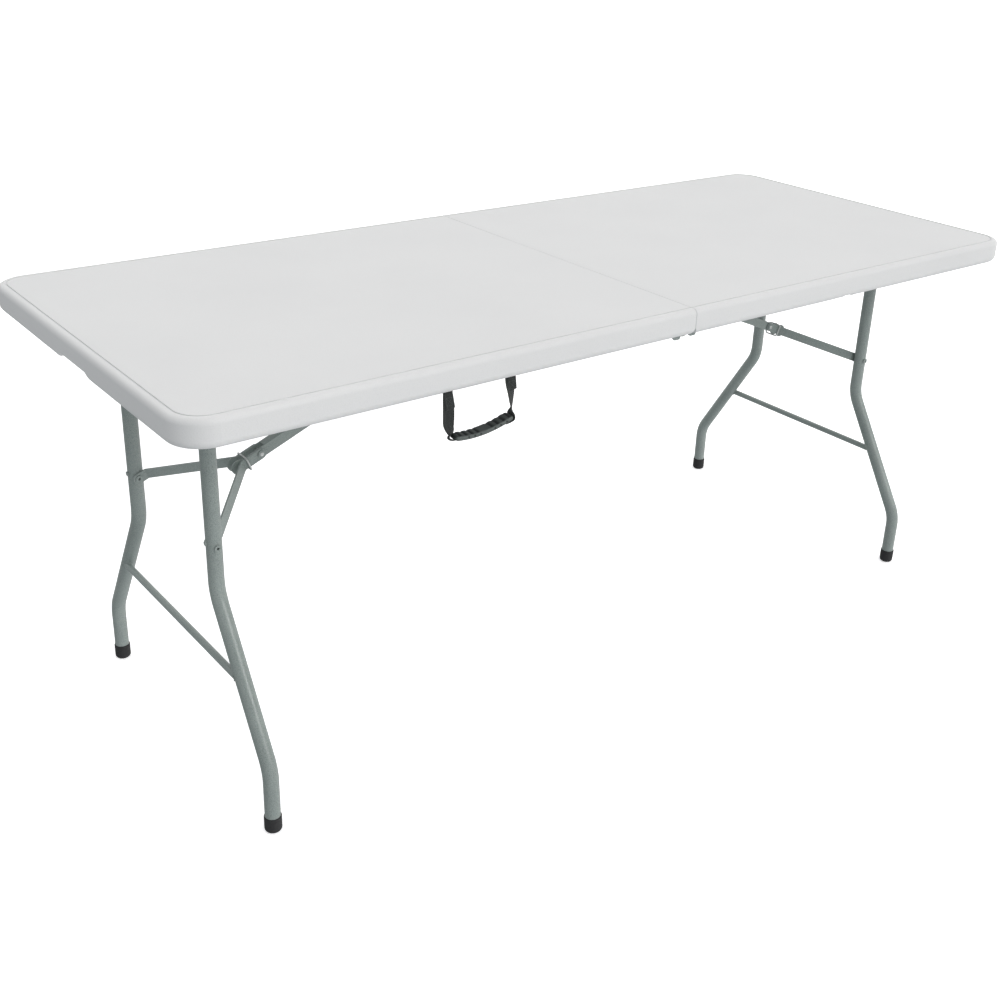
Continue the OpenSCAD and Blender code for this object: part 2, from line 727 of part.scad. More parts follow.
module knee_rivet(side) {
  seat = bar_out_y + rivet_seat_gap;
  color(zinc) on_side(side) at_knee() {
    y_rod(knee_r, -seat - eps, seat + eps);
    for (s = [0, 1]) mirror([0, s, 0]) y_rod(head_r, seat, seat + knee_head_t);
  }
}

// Plan of a V bar on the +Y side: straight beside the arm, slanting, straight beside the leg
module bar_plan() {
  polygon([[0, bar_in_y], [bar_straight, bar_in_y], [bar_bend_x, tab_in_y],
    [v_reach, tab_in_y], [v_reach, tab_out_y], [bar_bend_x - bar_miter, tab_out_y],
    [bar_straight - bar_miter, bar_out_y], [0, bar_out_y]]);
}

module v_bar(side, flank) {
  color(steel) on_side(side) on_flank(flank) at_knee() difference() {
    union() {
      translate([0, 0, -bar_h / 2]) linear_extrude(bar_h) bar_plan();
      y_rod(bar_h / 2, bar_in_y, bar_out_y, 0, 0);
      y_rod(bar_h / 2, tab_in_y, tab_out_y, v_reach, 0);
    }
    y_rod(knee_r + run_clear, 0, bar_out_y + 1, 0, 0);
    y_rod(bolt_r + fit_clear, tab_in_y - 1, tab_out_y + 1, v_reach, 0);
  }
}

// The hollow rivets at the leg ends of the V bars, flush on the leg side
module v_rivets(side) {
  head_y = tab_in_y - v_rivet_head_t;
  color(steel) on_side(side) at_knee() for (s = [0, 1]) mirror([0, s, 0]) difference() {
    union() {
      y_rod(bolt_r, tab_in_y - eps, tab_out_y, v_reach, 0);
      y_rod(head_r, head_y, tab_in_y, v_reach, 0);
    }
    y_rod(rivet_bore_r, head_y - 1, tab_out_y - 1, v_reach, 0);
  }
}

// The lock ring: a rounded rectangle of wire around the arm's tip and the V bars
module lock_ring(side) {
  r = ring_wire / 2;
  y0 = ring_half_w + r - ring_bend;
  z0 = ring_half_h + r - ring_bend;
  color(zinc) on_side(side) at_knee() translate([ring_rest, 0, -ring_drop]) {
    for (s = [-1, 1]) {
      y_rod(r, -y0, y0, 0, s * (z0 + ring_bend));
      translate([0, s * (y0 + ring_bend), -z0]) cylinder(r = r, h = 2 * z0);
    }
    for (sy = [0, 1], sz = [0, 1]) mirror([0, sy, 0]) mirror([0, 0, sz])
      translate([0, y0, z0]) rotate([0, -90, 0])
        rotate_extrude(angle = 90) translate([ring_bend, 0]) circle(r, $fn = 32);
  }
}

// ---- carry handle ----------------------------------------------------------------

// The fixed ends of the webbing: through the rim's slot and up the rim's inner face
module strap_anchors() {
  outer_y = strap_y - strap_t / 2 - side_clear;
  color(black) on_side(-1) for (x = strap_x) {
    translate([x - strap_w / 2, -outer_y, rim_z + side_clear])
      cube([strap_w, outer_y - rim_in_y + strap_t, strap_t]);
    translate([x - strap_w / 2, -rim_in_y, rim_z + side_clear])
      cube([strap_w, strap_t, anchor_h]);
  }
}

module handle_straps() {
  color(black) on_side(-1) for (k = [0, 1])
    translate([strap_x[k] - strap_w / 2, -strap_y - strap_t / 2, strap_top - strap_fall[k]])
      cube([strap_w, strap_t, strap_fall[k]]);
}

// The grip: a sagging bar with rounded edges and two groups of grooves on top. It
// leans with the straps.
module handle_grip() {
  edge = grip_t / 2;
  centre_z = grip_z - side_clear - edge;
  groove_step = grip_half_angle / (grip_grooves + groove_margin);
  color(black) on_side(-1) translate([handle_x, -strap_y, centre_z]) rotate([90, grip_lean, 0])
    translate([0, grip_arc_r - grip_sag, 0]) difference() {
      rotate([0, 0, -90 - grip_half_angle]) rotate_extrude(angle = 2 * grip_half_angle)
        translate([grip_arc_r, 0]) {
          translate([-edge, -grip_w / 2 + edge]) square([2 * edge, grip_w - 2 * edge]);
          for (s = [-1, 1]) translate([0, s * (grip_w / 2 - edge)]) circle(edge);
        }
      for (s = [-1, 1], k = [1:grip_grooves])
        rotate([0, 0, s * (k + groove_margin - 1) * groove_step - 90])
          translate([grip_arc_r - edge, 0, -grip_w])
            cylinder(r = groove_cut_r, h = 2 * grip_w, $fn = 24);
    }
}

// ---- drawing ------------------------------------------------------------------------

top_half(-1);  // top_left
rails(-1);  // rails_left
hinge_leaves(-1);  // hinge_leaves_left
pivot_saddles(-1);  // pivot_saddles_left
arm_bracket(-1);  // arm_bracket_left
arm_root_pin(-1);  // arm_root_pin_left
screws(-1);  // screws_left
strap_anchors();
top_half(1);  // top_right
rails(1);  // rails_right
hinge_leaves(1);  // hinge_leaves_right
pivot_saddles(1);  // pivot_saddles_right
arm_bracket(1);  // arm_bracket_right
arm_root_pin(1);  // arm_root_pin_right
screws(1);  // screws_right
hinge_links();
hinge_pins();
leg(-1, -1);  // leg_near_left
leg(-1, 1);  // leg_far_left
pivot_tube(-1);  // pivot_tube_left
crossbar(-1);  // crossbar_left
foot_caps(-1);  // foot_caps_left
brace_bolts(-1);  // brace_bolts_left
leg(1, -1);  // leg_near_right
leg(1, 1);  // leg_far_right
pivot_tube(1);  // pivot_tube_right
crossbar(1);  // crossbar_right
foot_caps(1);  // foot_caps_right
brace_bolts(1);  // brace_bolts_right
arm(-1);  // arm_left
knee_rivet(-1);  // knee_rivet_left
v_bar(-1, -1);  // v_bar_near_left
v_bar(-1, 1);  // v_bar_far_left
v_rivets(-1);  // v_rivets_left
lock_ring(-1);  // lock_ring_left
arm(1);  // arm_right
knee_rivet(1);  // knee_rivet_right
v_bar(1, -1);  // v_bar_near_right
v_bar(1, 1);  // v_bar_far_right
v_rivets(1);  // v_rivets_right
lock_ring(1);  // lock_ring_right
handle_straps();
handle_grip();
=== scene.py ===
import logging
import math
from dataclasses import dataclass, field
from enum import Enum
from typing import Sequence

import bmesh
import bpy
import numpy as np
from mathutils import Matrix, Vector


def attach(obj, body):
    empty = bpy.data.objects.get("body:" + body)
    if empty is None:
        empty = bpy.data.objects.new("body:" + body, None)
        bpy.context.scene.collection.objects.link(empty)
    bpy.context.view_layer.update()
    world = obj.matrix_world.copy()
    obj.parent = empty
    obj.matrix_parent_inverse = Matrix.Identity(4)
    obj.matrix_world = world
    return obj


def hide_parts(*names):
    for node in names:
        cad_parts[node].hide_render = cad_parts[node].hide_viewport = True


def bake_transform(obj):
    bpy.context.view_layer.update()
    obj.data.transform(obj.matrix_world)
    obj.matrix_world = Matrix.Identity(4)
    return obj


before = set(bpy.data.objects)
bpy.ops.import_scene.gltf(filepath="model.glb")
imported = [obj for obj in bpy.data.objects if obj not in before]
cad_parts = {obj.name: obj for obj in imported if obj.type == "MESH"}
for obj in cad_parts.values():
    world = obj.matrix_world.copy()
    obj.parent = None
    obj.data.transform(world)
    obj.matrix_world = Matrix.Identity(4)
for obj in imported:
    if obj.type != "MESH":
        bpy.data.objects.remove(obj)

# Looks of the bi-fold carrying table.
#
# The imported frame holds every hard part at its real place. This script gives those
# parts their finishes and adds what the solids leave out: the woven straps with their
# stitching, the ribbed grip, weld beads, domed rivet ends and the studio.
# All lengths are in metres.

log = logging.getLogger("folding_table")
Array = np.ndarray
Material = bpy.types.Material
Socket = bpy.types.NodeSocket
Colour = Place = tuple[float, float, float]
Span = tuple[float, float]
Rows = Sequence[Sequence[float]]
MM = 0.001
MERGE_REACH = 2e-6
COLLAPSED_EDGE = 1e-7
Y_AXIS = np.array([0, 1.0, 0])
WHITE: Colour = (1.0, 1.0, 1.0)
# Spans of a noise texture: most of it, its low and its high flecks, and its clouds.
NOISE: Span = (0.3, 0.7)
LOW_NOISE: Span = (0.36, 0.47)
HIGH_NOISE: Span = (0.50, 0.62)
CLOUDS: Span = (0.35, 0.7)


class Side(Enum):
    """An end of the table, with the sign of its X."""

    LEFT = -1
    RIGHT = 1

    def named(self, part: str) -> str:
        """The name of this end's part, body or piece."""
        return f"{part}_{self.name.lower()}"


# ---- surfaces ----


@dataclass
class Surface:
    """Vertices, faces and texture coordinates gathered from several shapes."""

    verts: list[Array] = field(default_factory=list)
    quads: list[Array] = field(default_factory=list)
    uvs: list[Array] = field(default_factory=list)
    count: int = 0

    def grid(self, points: Array, uv: Array | None = None) -> None:
        """Adds a grid of quads whose last column joins the first.

        Row i and column j of the grid join to row i + 1 and column j + 1.

        Args:
            points: Array of shape (rows, columns, 3).
            uv: Array of shape (rows, columns, 2), or None for zero coordinates.
        """
        rows, cols = points.shape[:2]
        if uv is None:
            uv = np.zeros((rows, cols, 2))
        i = np.arange(rows - 1)[:, None]
        j = np.arange(cols)[None, :]
        k = (j + 1) % cols
        quad = np.stack([i * cols + j, i * cols + k, (i + 1) * cols + k, (i + 1) * cols + j],
                        axis=-1)
        self.verts.append(points.reshape(-1, 3))
        self.quads.append(quad.reshape(-1, 4) + self.count)
        self.uvs.append(uv.reshape(-1, 2))
        self.count += rows * cols

    def build(self, name: str, material: Material) -> bpy.types.Object:
        """Makes the smooth object, with doubles merged and normals turned outwards.

        Args:
            name: Name of the piece.
            material: Its finish.

        Returns:
            The object, at the origin, with its place in its mesh.
        """
        verts, quads, uvs = (np.concatenate(part) for part in (self.verts, self.quads, self.uvs))
        mesh = bpy.data.meshes.new(name)
        mesh.vertices.add(len(verts))
        mesh.vertices.foreach_set("co", verts.astype(np.float32).ravel())
        mesh.loops.add(quads.size)
        mesh.loops.foreach_set("vertex_index", quads.astype(np.int32).ravel())
        mesh.polygons.add(len(quads))
        mesh.polygons.foreach_set("loop_start", np.arange(0, quads.size, 4, dtype=np.int32))
        layer = mesh.uv_layers.new(name="UVMap")
        layer.uv.foreach_set("vector", uvs[quads.ravel()].astype(np.float32).ravel())
        mesh.update(calc_edges=True)
        mesh.validate()
        clean_mesh(mesh)
        mesh.polygons.foreach_set("use_smooth", [True] * len(mesh.polygons))
        mesh.materials.append(material)
        obj = bpy.data.objects.new(name, mesh)
        bpy.context.scene.collection.objects.link(obj)
        return obj


def clean_mesh(mesh: bpy.types.Mesh) -> None:
    """Merges doubled vertices, drops collapsed faces and turns all faces outwards.

    Args:
        mesh: The mesh to clean in place.
    """
    bm = bmesh.new()
    bm.from_mesh(mesh)
    bmesh.ops.remove_doubles(bm, verts=bm.verts, dist=MERGE_REACH)
    bmesh.ops.dissolve_degenerate(bm, edges=bm.edges, dist=COLLAPSED_EDGE)
    bmesh.ops.recalc_face_normals(bm, faces=bm.faces)
    bm.to_mesh(mesh)
    bm.free()


def sweep(path: Array, hint: Array, section: Array) -> Array:
    """Carries a closed section along a path.

    The tangent is the central difference of the points; the side axis is the hint made
    square to it; the third axis is their cross product. Point (i, j) is path i plus side
    axis times the section's first coordinate plus third axis times its second.

    Args:
        path: Points of shape (n, 3).
        hint: One side direction, or one for each point.
        section: Shape (m, 2), or (n, m, 2) where it changes along the path.

    Returns:
        Points of shape (n, m, 3).
    """
    tangent = np.gradient(path, axis=0)
    tangent /= np.linalg.norm(tangent, axis=1, keepdims=True)
    side = hint - (hint * tangent).sum(1, keepdims=True) * tangent
    side /= np.linalg.norm(side, axis=1, keepdims=True)
    third = np.cross(tangent, side)
    return path[:, None] + side[:, None] * section[..., :1] + third[:, None] * section[..., 1:]


def closed_ends(points: Array) -> Array:
    """Adds a collapsed row at each end, so that the swept skin is closed.

    Args:
        points: Skin of shape (n, m, 3).

    Returns:
        The skin with its two end rows drawn in to their middles.
    """
    first = np.full_like(points[:1], points[0].mean(0))
    last = np.full_like(points[-1:], points[-1].mean(0))
    return np.concatenate([first, points, last])


def oval(power: float, count: int) -> Array:
    """A superellipse of half size 1: the signed 2/power root of cosine and of sine.

    Args:
        power: 2 for a circle, more for a squarer form.
        count: Number of points.

    Returns:
        Points of shape (count, 2).
    """
    t = np.linspace(0, 2 * np.pi, count, endpoint=False)
    circle = np.stack([np.cos(t), np.sin(t)], axis=1)
    return np.sign(circle) * np.abs(circle) ** (2 / power)


def smoothstep(x: Array, low: float, high: float) -> Array:
    """Zero below low, one above high, and a cubic of x between them."""
    t = np.clip((x - low) / (high - low), 0.0, 1.0)
    return t * t * (3 - 2 * t)


def turned(profile: Array, centre: Place, axis: Place, count: int) -> Array:
    """A profile of (radius, height) pairs turned about an axis.

    Args:
        profile: Shape (n, 2): distance from the axis, and height along it.
        centre: Point where the height is zero.
        axis: Unit direction of the axis, square to X.
        count: Points around.

    Returns:
        Points of shape (n, count, 3).
    """
    u = np.cross(axis, (1.0, 0.0, 0.0))
    v = np.cross(axis, u)
    t = np.linspace(0, 2 * np.pi, count, endpoint=False)
    ring = np.cos(t)[:, None] * u + np.sin(t)[:, None] * v
    return np.array(centre) + profile[:, None, :1] * ring + profile[:, None, 1:] * np.array(axis)


def steps_of(path: Array) -> Array:
    """Distance of each point from the one before it; the first is zero."""
    return np.linalg.norm(np.diff(path, axis=0, prepend=path[:1]), axis=1)


def eased(rows: Rows, count: int) -> Array:
    """A smooth curve through rows of numbers.

    Each column is a cubic through its values whose slope at a row is the difference of
    its neighbours. The rows are spaced by the square root of the distance between them.

    Args:
        rows: Control rows; the first three columns are a place in metres.
        count: Number of rows made.

    Returns:
        Array of shape (count, columns).
    """
    keys = np.asarray(rows, float)
    knot = np.cumsum(np.sqrt(steps_of(keys[:, :3])))
    slope = np.gradient(keys, knot, axis=0)
    at = np.linspace(0, knot[-1], count)
    i = np.clip(np.searchsorted(knot, at, side="right") - 1, 0, len(knot) - 2)
    span = (knot[i + 1] - knot[i])[:, None]
    t = (at - knot[i])[:, None] / span
    return ((2 * t**3 - 3 * t**2 + 1) * keys[i] + (t**3 - 2 * t**2 + t) * span * slope[i]
            + (3 * t**2 - 2 * t**3) * keys[i + 1] + (t**3 - t**2) * span * slope[i + 1])


# ---- material graphs ----


def opaque(colour: object) -> object:
    """A colour with full cover added, or a socket as it is."""
    return colour if isinstance(colour, Socket) else (*colour, 1.0)


class Nodes:
    """A node tree, built in a few calls."""

    def __init__(self, tree: bpy.types.NodeTree) -> None:
        """Takes the tree that the calls add to."""
        self.tree = tree

    def node(self, kind: str, inputs: dict[str | int, object] | None = None,
             **settings: object) -> bpy.types.Node:
        """Adds a node.

        Args:
            kind: Blender's name for the node's type.
            inputs: Values or sockets for its inputs, by name or number.
            settings: Attributes to set on it.

        Returns:
            The node.
        """
        made = self.tree.nodes.new(kind)
        for key, value in settings.items():
            setattr(made, key, value)
        for key, value in (inputs or {}).items():
            self.put(made, key, value)
        return made

    def link(self, source: Socket, target: Socket) -> None:
        """Joins an output to an input."""
        self.tree.links.new(source, target)

    def put(self, node: bpy.types.Node, key: str | int, value: object) -> None:
        """Sets an input to a value, or links it where the value is a socket.

        Args:
            node: The node that has the input.
            key: The input's name or number.
            value: The value or the socket.
        """
        if isinstance(value, Socket):
            self.link(value, node.inputs[key])
        else:
            node.inputs[key].default_value = value

    def math(self, operation: str, *values: object, clamp: bool = False) -> Socket:
        """One step of arithmetic on two or three numbers or sockets."""
        made = self.node("ShaderNodeMath", dict(enumerate(values)), operation=operation,
                         use_clamp=clamp)
        return made.outputs[0]

    def times(self, a: object, b: object) -> Socket:
        """The product of two values."""
        return self.math("MULTIPLY", a, b)

    def parts(self, vector: Socket) -> Sequence[Socket]:
        """The X, Y and Z of a vector."""
        return self.node("ShaderNodeSeparateXYZ", {0: vector}).outputs

    def dot(self, a: object, b: object) -> Socket:
        """The dot product of two vectors or sockets."""
        made = self.node("ShaderNodeVectorMath", {0: a, 1: b}, operation="DOT_PRODUCT")
        return made.outputs["Value"]

    def mix(self, factor: object, a: object, b: object) -> Socket:
        """A mix of two colours or sockets; the factor says how much of b shows."""
        inputs = {0: factor, 6: opaque(a), 7: opaque(b)}
        return self.node("ShaderNodeMix", inputs, data_type="RGBA").outputs[2]

    def span(self, value: Socket, low: float, high: float, from_low: float = 0.0,
             from_high: float = 1.0, curve: str = "LINEAR") -> Socket:
        """The value carried from one range to another, and held at its ends.

        Args:
            value: The value socket.
            low: Result at the start of the range.
            high: Result at its end.
            from_low: Start of the range.
            from_high: End of the range.
            curve: Blender's name for the way between them.

        Returns:
            The value socket.
        """
        inputs = {"Value": value, "From Min": from_low, "From Max": from_high,
                  "To Min": low, "To Max": high}
        made = self.node("ShaderNodeMapRange", inputs, interpolation_type=curve)
        return made.outputs["Result"]


class Graph(Nodes):
    """A material's node tree around a principled shader."""

    def __init__(self, name: str) -> None:
        """Starts an empty material with its shader.

        Args:
            name: Name of the material.
        """
        self.material = bpy.data.materials.new(name)
        self.material.use_nodes = True
        super().__init__(self.material.node_tree)
        self.tree.nodes.clear()
        self.shader = self.node("ShaderNodeBsdfPrincipled")
        self.surface = self.node("ShaderNodeOutputMaterial").inputs["Surface"]
        self.link(self.shader.outputs["BSDF"], self.surface)

    def place(self) -> Socket:
        """The piece's own object coordinates."""
        return self.node("ShaderNodeTexCoord").outputs["Object"]

    def chart(self) -> Sequence[Socket]:
        """The two coordinates of the piece's own UV map."""
        return self.parts(self.node("ShaderNodeTexCoord").outputs["UV"])

    def noise(self, vector: Socket, scale: float, detail: float = 2.0,
              rough: float = 0.5) -> Socket:
        """Cloudy noise.

        Args:
            vector: Where it is read.
            scale: Waves in a metre.
            detail: How many finer layers it has.
            rough: How strong the finer layers are.

        Returns:
            A value socket between 0 and 1.
        """
        inputs = {"Vector": vector, "Scale": scale, "Detail": detail, "Roughness": rough}
        return self.node("ShaderNodeTexNoise", inputs).outputs["Fac"]

    def cells(self, vector: Socket, scale: float) -> Socket:
        """Distance to the nearest of a field of scattered points."""
        made = self.node("ShaderNodeTexVoronoi", {"Vector": vector, "Scale": scale})
        return made.outputs["Distance"]

    def bump(self, height: Socket, distance: float, strength: float = 1.0,
             under: Socket | None = None) -> Socket:
        """Turns a height into a normal.

        Args:
            height: Height between 0 and 1.
            distance: Depth of the relief in metres.
            strength: How much of it shows.
            under: Normal of a coarser relief below it.

        Returns:
            The normal socket.
        """
        inputs = {"Height": height, "Distance": distance, "Strength": strength}
        if under is not None:
            inputs["Normal"] = under
        return self.node("ShaderNodeBump", inputs).outputs["Normal"]

    def edge_nearness(self, radius: float, low: float, high: float) -> Socket:
        """How near a surface point is to an outer edge.

        The bevel node's normal differs from the true one near an edge; one minus the
        dot product of the two is carried from low..high to 0..1.

        Args:
            radius: Reach of the edge band.
            low: Difference where the band starts.
            high: Difference where it is full.

        Returns:
            A value socket between 0 and 1.
        """
        bevel = self.node("ShaderNodeBevel", {"Radius": radius}, samples=4)
        true_normal = self.node("ShaderNodeNewGeometry").outputs["Normal"]
        same = self.dot(bevel.outputs["Normal"], true_normal)
        return self.span(self.math("SUBTRACT", 1.0, same), 0.0, 1.0, low, high)

    def crevice(self, reach: float, open_share: float, tight_share: float) -> Socket:
        """How deep in a crevice a surface point lies.

        The share of directions that are clear within the reach is carried from the
        open share, which gives 0, to the tight share, which gives 1.

        Args:
            reach: How far a wall may be and still count.
            open_share: Clear share where the crevice begins.
            tight_share: Clear share where it is deepest.

        Returns:
            A value socket between 0 and 1.
        """
        clear = self.node("ShaderNodeAmbientOcclusion", {"Distance": reach}, samples=8)
        return self.span(clear.outputs["AO"], 0.0, 1.0, open_share, tight_share)

    def finish(self, colour: object, roughness: object, normal: Socket | None = None,
               metallic: float = 0.0) -> Material:
        """Puts the finish on the shader.

        Args:
            colour: Colour or socket.
            roughness: Number or socket.
            normal: Normal of the relief, if it has one.
            metallic: Share of bare metal.

        Returns:
            The material.
        """
        self.put(self.shader, "Base Color", opaque(colour))
        self.put(self.shader, "Roughness", roughness)
        self.put(self.shader, "Metallic", metallic)
        if normal is not None:
            self.put(self.shader, "Normal", normal)
        return self.material


# ---- finishes ----


@dataclass(frozen=True)
class MouldedPlastic:
    """Off-white blow-moulded plastic with a fine pebble grain."""

    colour: Colour = (0.742, 0.743, 0.741)
    dark: Colour = (0.672, 0.675, 0.678)
    # Colour of the painted shade in the grooves and the seam.
    painted_shade: Colour = (0.630, 0.635, 0.640)
    grain: float = 620.0
    grain_depth: float = 0.22 * MM
    pebble: float = 434.0
    pebble_share: float = 0.6
    ripple: float = 22.0
    ripple_depth: float = 0.6 * MM
    drift: float = 5.0
    drift_share: float = 0.25
    fleck_share: float = 0.45
    groove_reach: float = 7.0 * MM
    groove_clear: Span = (0.93, 0.58)
    roughness: Span = (0.41, 0.55)

    def build(self) -> Material:
        """Fine cells and noise for the grain, a slow drift, and painted shade in the grooves and
        the seam.

        Returns:
            The material.
        """
        g = Graph("moulded_plastic")
        at = g.place()
        fine = g.noise(at, self.grain, detail=3.0, rough=0.6)
        pebbles = g.times(g.cells(at, self.pebble), self.pebble_share)
        slow = g.span(g.noise(at, self.drift), 0.0, self.drift_share, *CLOUDS)
        base = g.mix(slow, self.colour, self.dark)
        fleck = g.span(fine, 1.0, 0.0, *LOW_NOISE)
        colour = g.mix(g.times(fleck, self.fleck_share), base, self.dark)
        # Painted shade: where the occlusion mask finds walls close by, in the grooves and the
        # seam, the colour is mixed toward a darker grey.
        colour = g.mix(g.crevice(self.groove_reach, *self.groove_clear), colour, self.painted_shade)
        height = g.math("ADD", pebbles, g.times(fine, 1 - self.pebble_share))
        ripple = g.bump(g.noise(at, self.ripple, detail=1.0), self.ripple_depth, strength=0.30)
        normal = g.bump(height, self.grain_depth, strength=0.50, under=ripple)
        return g.finish(colour, g.span(fine, *self.roughness, *NOISE), normal)


@dataclass(frozen=True)
class PowderCoat:
    """Grey-green textured powder coat with light and dark flecks."""

    colour: Colour = (0.236, 0.276, 0.262)
    light: Colour = (0.420, 0.467, 0.446)
    dark: Colour = (0.100, 0.124, 0.115)
    grain: float = 1250.0
    deep_grain: float = 775.0
    peel: float = 625.0
    peel_depth: float = 0.25 * MM
    drift: float = 9.0
    drift_share: float = 0.30
    pale_share: float = 0.50
    deep_share: float = 0.45
    # The band along the outer edges that gets the painted highlight.
    edge_reach: float = 1.2 * MM
    edge_span: Span = (0.04, 0.35)
    edge_share: float = 0.35
    roughness: Span = (0.24, 0.38)
    specular: float = 0.55

    def build(self) -> Material:
        """Two layers of flecks over a slow change of shade, a painted highlight along the edges,
        and an orange-peel relief.

        Returns:
            The material.
        """
        g = Graph("powder_coat")
        at = g.place()
        fine = g.noise(at, self.grain, rough=0.6)
        pale = g.span(fine, 0.0, 1.0, *HIGH_NOISE)
        deep = g.span(g.noise(at, self.deep_grain, rough=0.6), 1.0, 0.0, *LOW_NOISE)
        slow = g.span(g.noise(at, self.drift), 0.0, self.drift_share, *NOISE)
        colour = g.mix(slow, self.colour, self.light)
        colour = g.mix(g.times(pale, self.pale_share), colour, self.light)
        colour = g.mix(g.times(deep, self.deep_share), colour, self.dark)
        # Painted edge highlight: near outer edges the colour is mixed toward the light colour,
        # standing in for light caught on rounded edges.
        at_edges = g.edge_nearness(self.edge_reach, *self.edge_span)
        colour = g.mix(g.times(at_edges, self.edge_share), colour, self.light)
        normal = g.bump(g.noise(at, self.peel), self.peel_depth, strength=0.6)
        g.put(g.shader, "Specular IOR Level", self.specular)
        return g.finish(colour, g.span(fine, *self.roughness, *NOISE), normal)


@dataclass(frozen=True)
class ZincPlate:
    """Bright zinc plate, slightly clouded."""

    colour: Colour = (0.66, 0.67, 0.66)
    dull: Colour = (0.42, 0.44, 0.43)
    cloud: float = 160.0
    cloud_share: float = 0.6
    drawn: float = 900.0
    pitted: float = 1400.0
    pit_depth: float = 0.05 * MM
    roughness: Span = (0.22, 0.42)
    metal: float = 0.85

    def build(self) -> Material:
        """Clouds of duller plate, with a fine drawn grain in the roughness.

        Returns:
            The material.
        """
        g = Graph("zinc_plate")
        at = g.place()
        cloud = g.span(g.noise(at, self.cloud, detail=3.0), 0.0, self.cloud_share, *CLOUDS)
        colour = g.mix(cloud, self.colour, self.dull)
        rough = g.span(g.noise(at, self.drawn), *self.roughness, *NOISE)
        normal = g.bump(g.noise(at, self.pitted, detail=1.0), self.pit_depth, strength=0.4)
        return g.finish(colour, rough, normal, self.metal)


@dataclass(frozen=True)
class FootRubber:
    """Matt black rubber, scuffed at its edges."""

    colour: Colour = (0.016, 0.016, 0.017)
    scuff: Colour = (0.060, 0.060, 0.061)
    mottle: float = 300.0
    grain: float = 1100.0
    grain_depth: float = 0.12 * MM
    edge_reach: float = 1.5 * MM
    edge_span: Span = (0.03, 0.3)
    roughness: Span = (0.55, 0.78)

    def build(self) -> Material:
        """A soft mottle, paler where the edges rub.

        Returns:
            The material.
        """
        g = Graph("foot_rubber_finish")
        at = g.place()
        mottle = g.noise(at, self.mottle, detail=3.0, rough=0.65)
        at_edges = g.times(g.edge_nearness(self.edge_reach, *self.edge_span), mottle)
        colour = g.mix(at_edges, self.colour, self.scuff)
        normal = g.bump(g.noise(at, self.grain), self.grain_depth, strength=0.6)
        return g.finish(colour, g.span(mottle, *self.roughness, *NOISE), normal)


@dataclass(frozen=True)
class WovenWebbing:
    """Black webbing with a chevron weave that follows the strap."""

    colour: Colour = (0.012, 0.015, 0.014)
    light: Colour = (0.042, 0.048, 0.046)
    thread: float = 1.1 * MM
    warp: float = 0.88 * MM
    warp_low: float = 0.35
    rib: float = 4.0 * MM
    weave_depth: float = 0.35 * MM
    fuzz: float = 2600.0
    roughness: Span = (0.62, 0.85)
    sheen: float = 0.12
    sheen_roughness: float = 0.4

    def build(self) -> Material:
        """Threads from two sine waves on the strap's own coordinates.

        The first coordinate runs along the strap and the second across it, both in
        metres. The along wave is shifted by the distance from the nearest rib, which
        makes the chevrons; the across wave parts the warp threads.

        Returns:
            The material.
        """
        g = Graph("woven_webbing")
        along, across = g.chart()[:2]
        shift = g.math("PINGPONG", across, self.rib)
        per_thread = 1.0 / self.thread
        phase = g.math("ADD", g.times(along, per_thread), g.times(shift, per_thread))
        weft = g.math("SINE", g.times(phase, 2 * math.pi))
        warp = g.math("SINE", g.times(across, 2 * math.pi / self.warp))
        height = g.times(g.span(weft, 0.0, 1.0, -1.0), g.span(warp, self.warp_low, 1.0, -1.0))
        fuzz = g.noise(g.place(), self.fuzz)
        colour = g.mix(g.times(height, fuzz), self.colour, self.light)
        g.put(g.shader, "Sheen Weight", self.sheen)
        g.put(g.shader, "Sheen Roughness", self.sheen_roughness)
        rough = g.span(fuzz, *self.roughness, *NOISE)
        return g.finish(colour, rough, g.bump(height, self.weave_depth, strength=0.8))


@dataclass(frozen=True)
class GripPlastic:
    """Black moulded grip, paler on its front face, with painted shade in its grooves and dimples.
    """

    colour: Colour = (0.034, 0.041, 0.039)
    front: Colour = (0.105, 0.122, 0.115)
    # Near-black colour of the painted shade in the grooves and dimples.
    deep: Colour = (0.006, 0.008, 0.008)
    grain: float = 900.0
    grain_depth: float = 0.12 * MM
    front_share: float = 0.8
    fleck_share: float = 0.25
    edge_reach: float = 1.4 * MM
    edge_span: Span = (0.02, 0.28)
    edge_share: float = 0.3
    roughness: Span = (0.42, 0.60)

    def build(self) -> Material:
        """A spark-eroded texture over tones that the grip's own UV map carries, with painted
        shade in the grooves and dimples.

        Returns:
            The material.
        """
        g = Graph("grip_plastic_finish")
        fine = g.noise(g.place(), self.grain, detail=3.0, rough=0.6)
        facing, grooved = g.chart()[:2]
        at_edges = g.times(g.edge_nearness(self.edge_reach, *self.edge_span), self.edge_share)
        tone = g.math("ADD", g.times(facing, self.front_share), at_edges, clamp=True)
        colour = g.mix(tone, self.colour, self.front)
        colour = g.mix(g.times(fine, self.fleck_share), colour, self.front)
        # Painted shade: where the UV map marks a groove or a dimple, the colour is mixed toward
        # near black, darker than the shading there gives.
        colour = g.mix(grooved, colour, self.deep)
        rough = g.span(fine, *self.roughness, *NOISE)
        return g.finish(colour, rough, g.bump(fine, self.grain_depth, strength=0.6))


@dataclass(frozen=True)
class StitchThread:
    """Twisted black polyester thread."""

    colour: Colour = (0.040, 0.045, 0.044)
    light: Colour = (0.12, 0.13, 0.125)
    twist: float = 3000.0
    twist_depth: float = 0.08 * MM
    twist_share: float = 0.5
    roughness: float = 0.6

    def build(self) -> Material:
        """A fine twist in the relief.

        Returns:
            The material.
        """
        g = Graph("stitch_thread")
        twist = g.noise(g.place(), self.twist)
        colour = g.mix(g.times(twist, self.twist_share), self.colour, self.light)
        return g.finish(colour, self.roughness, g.bump(twist, self.twist_depth, strength=0.7))


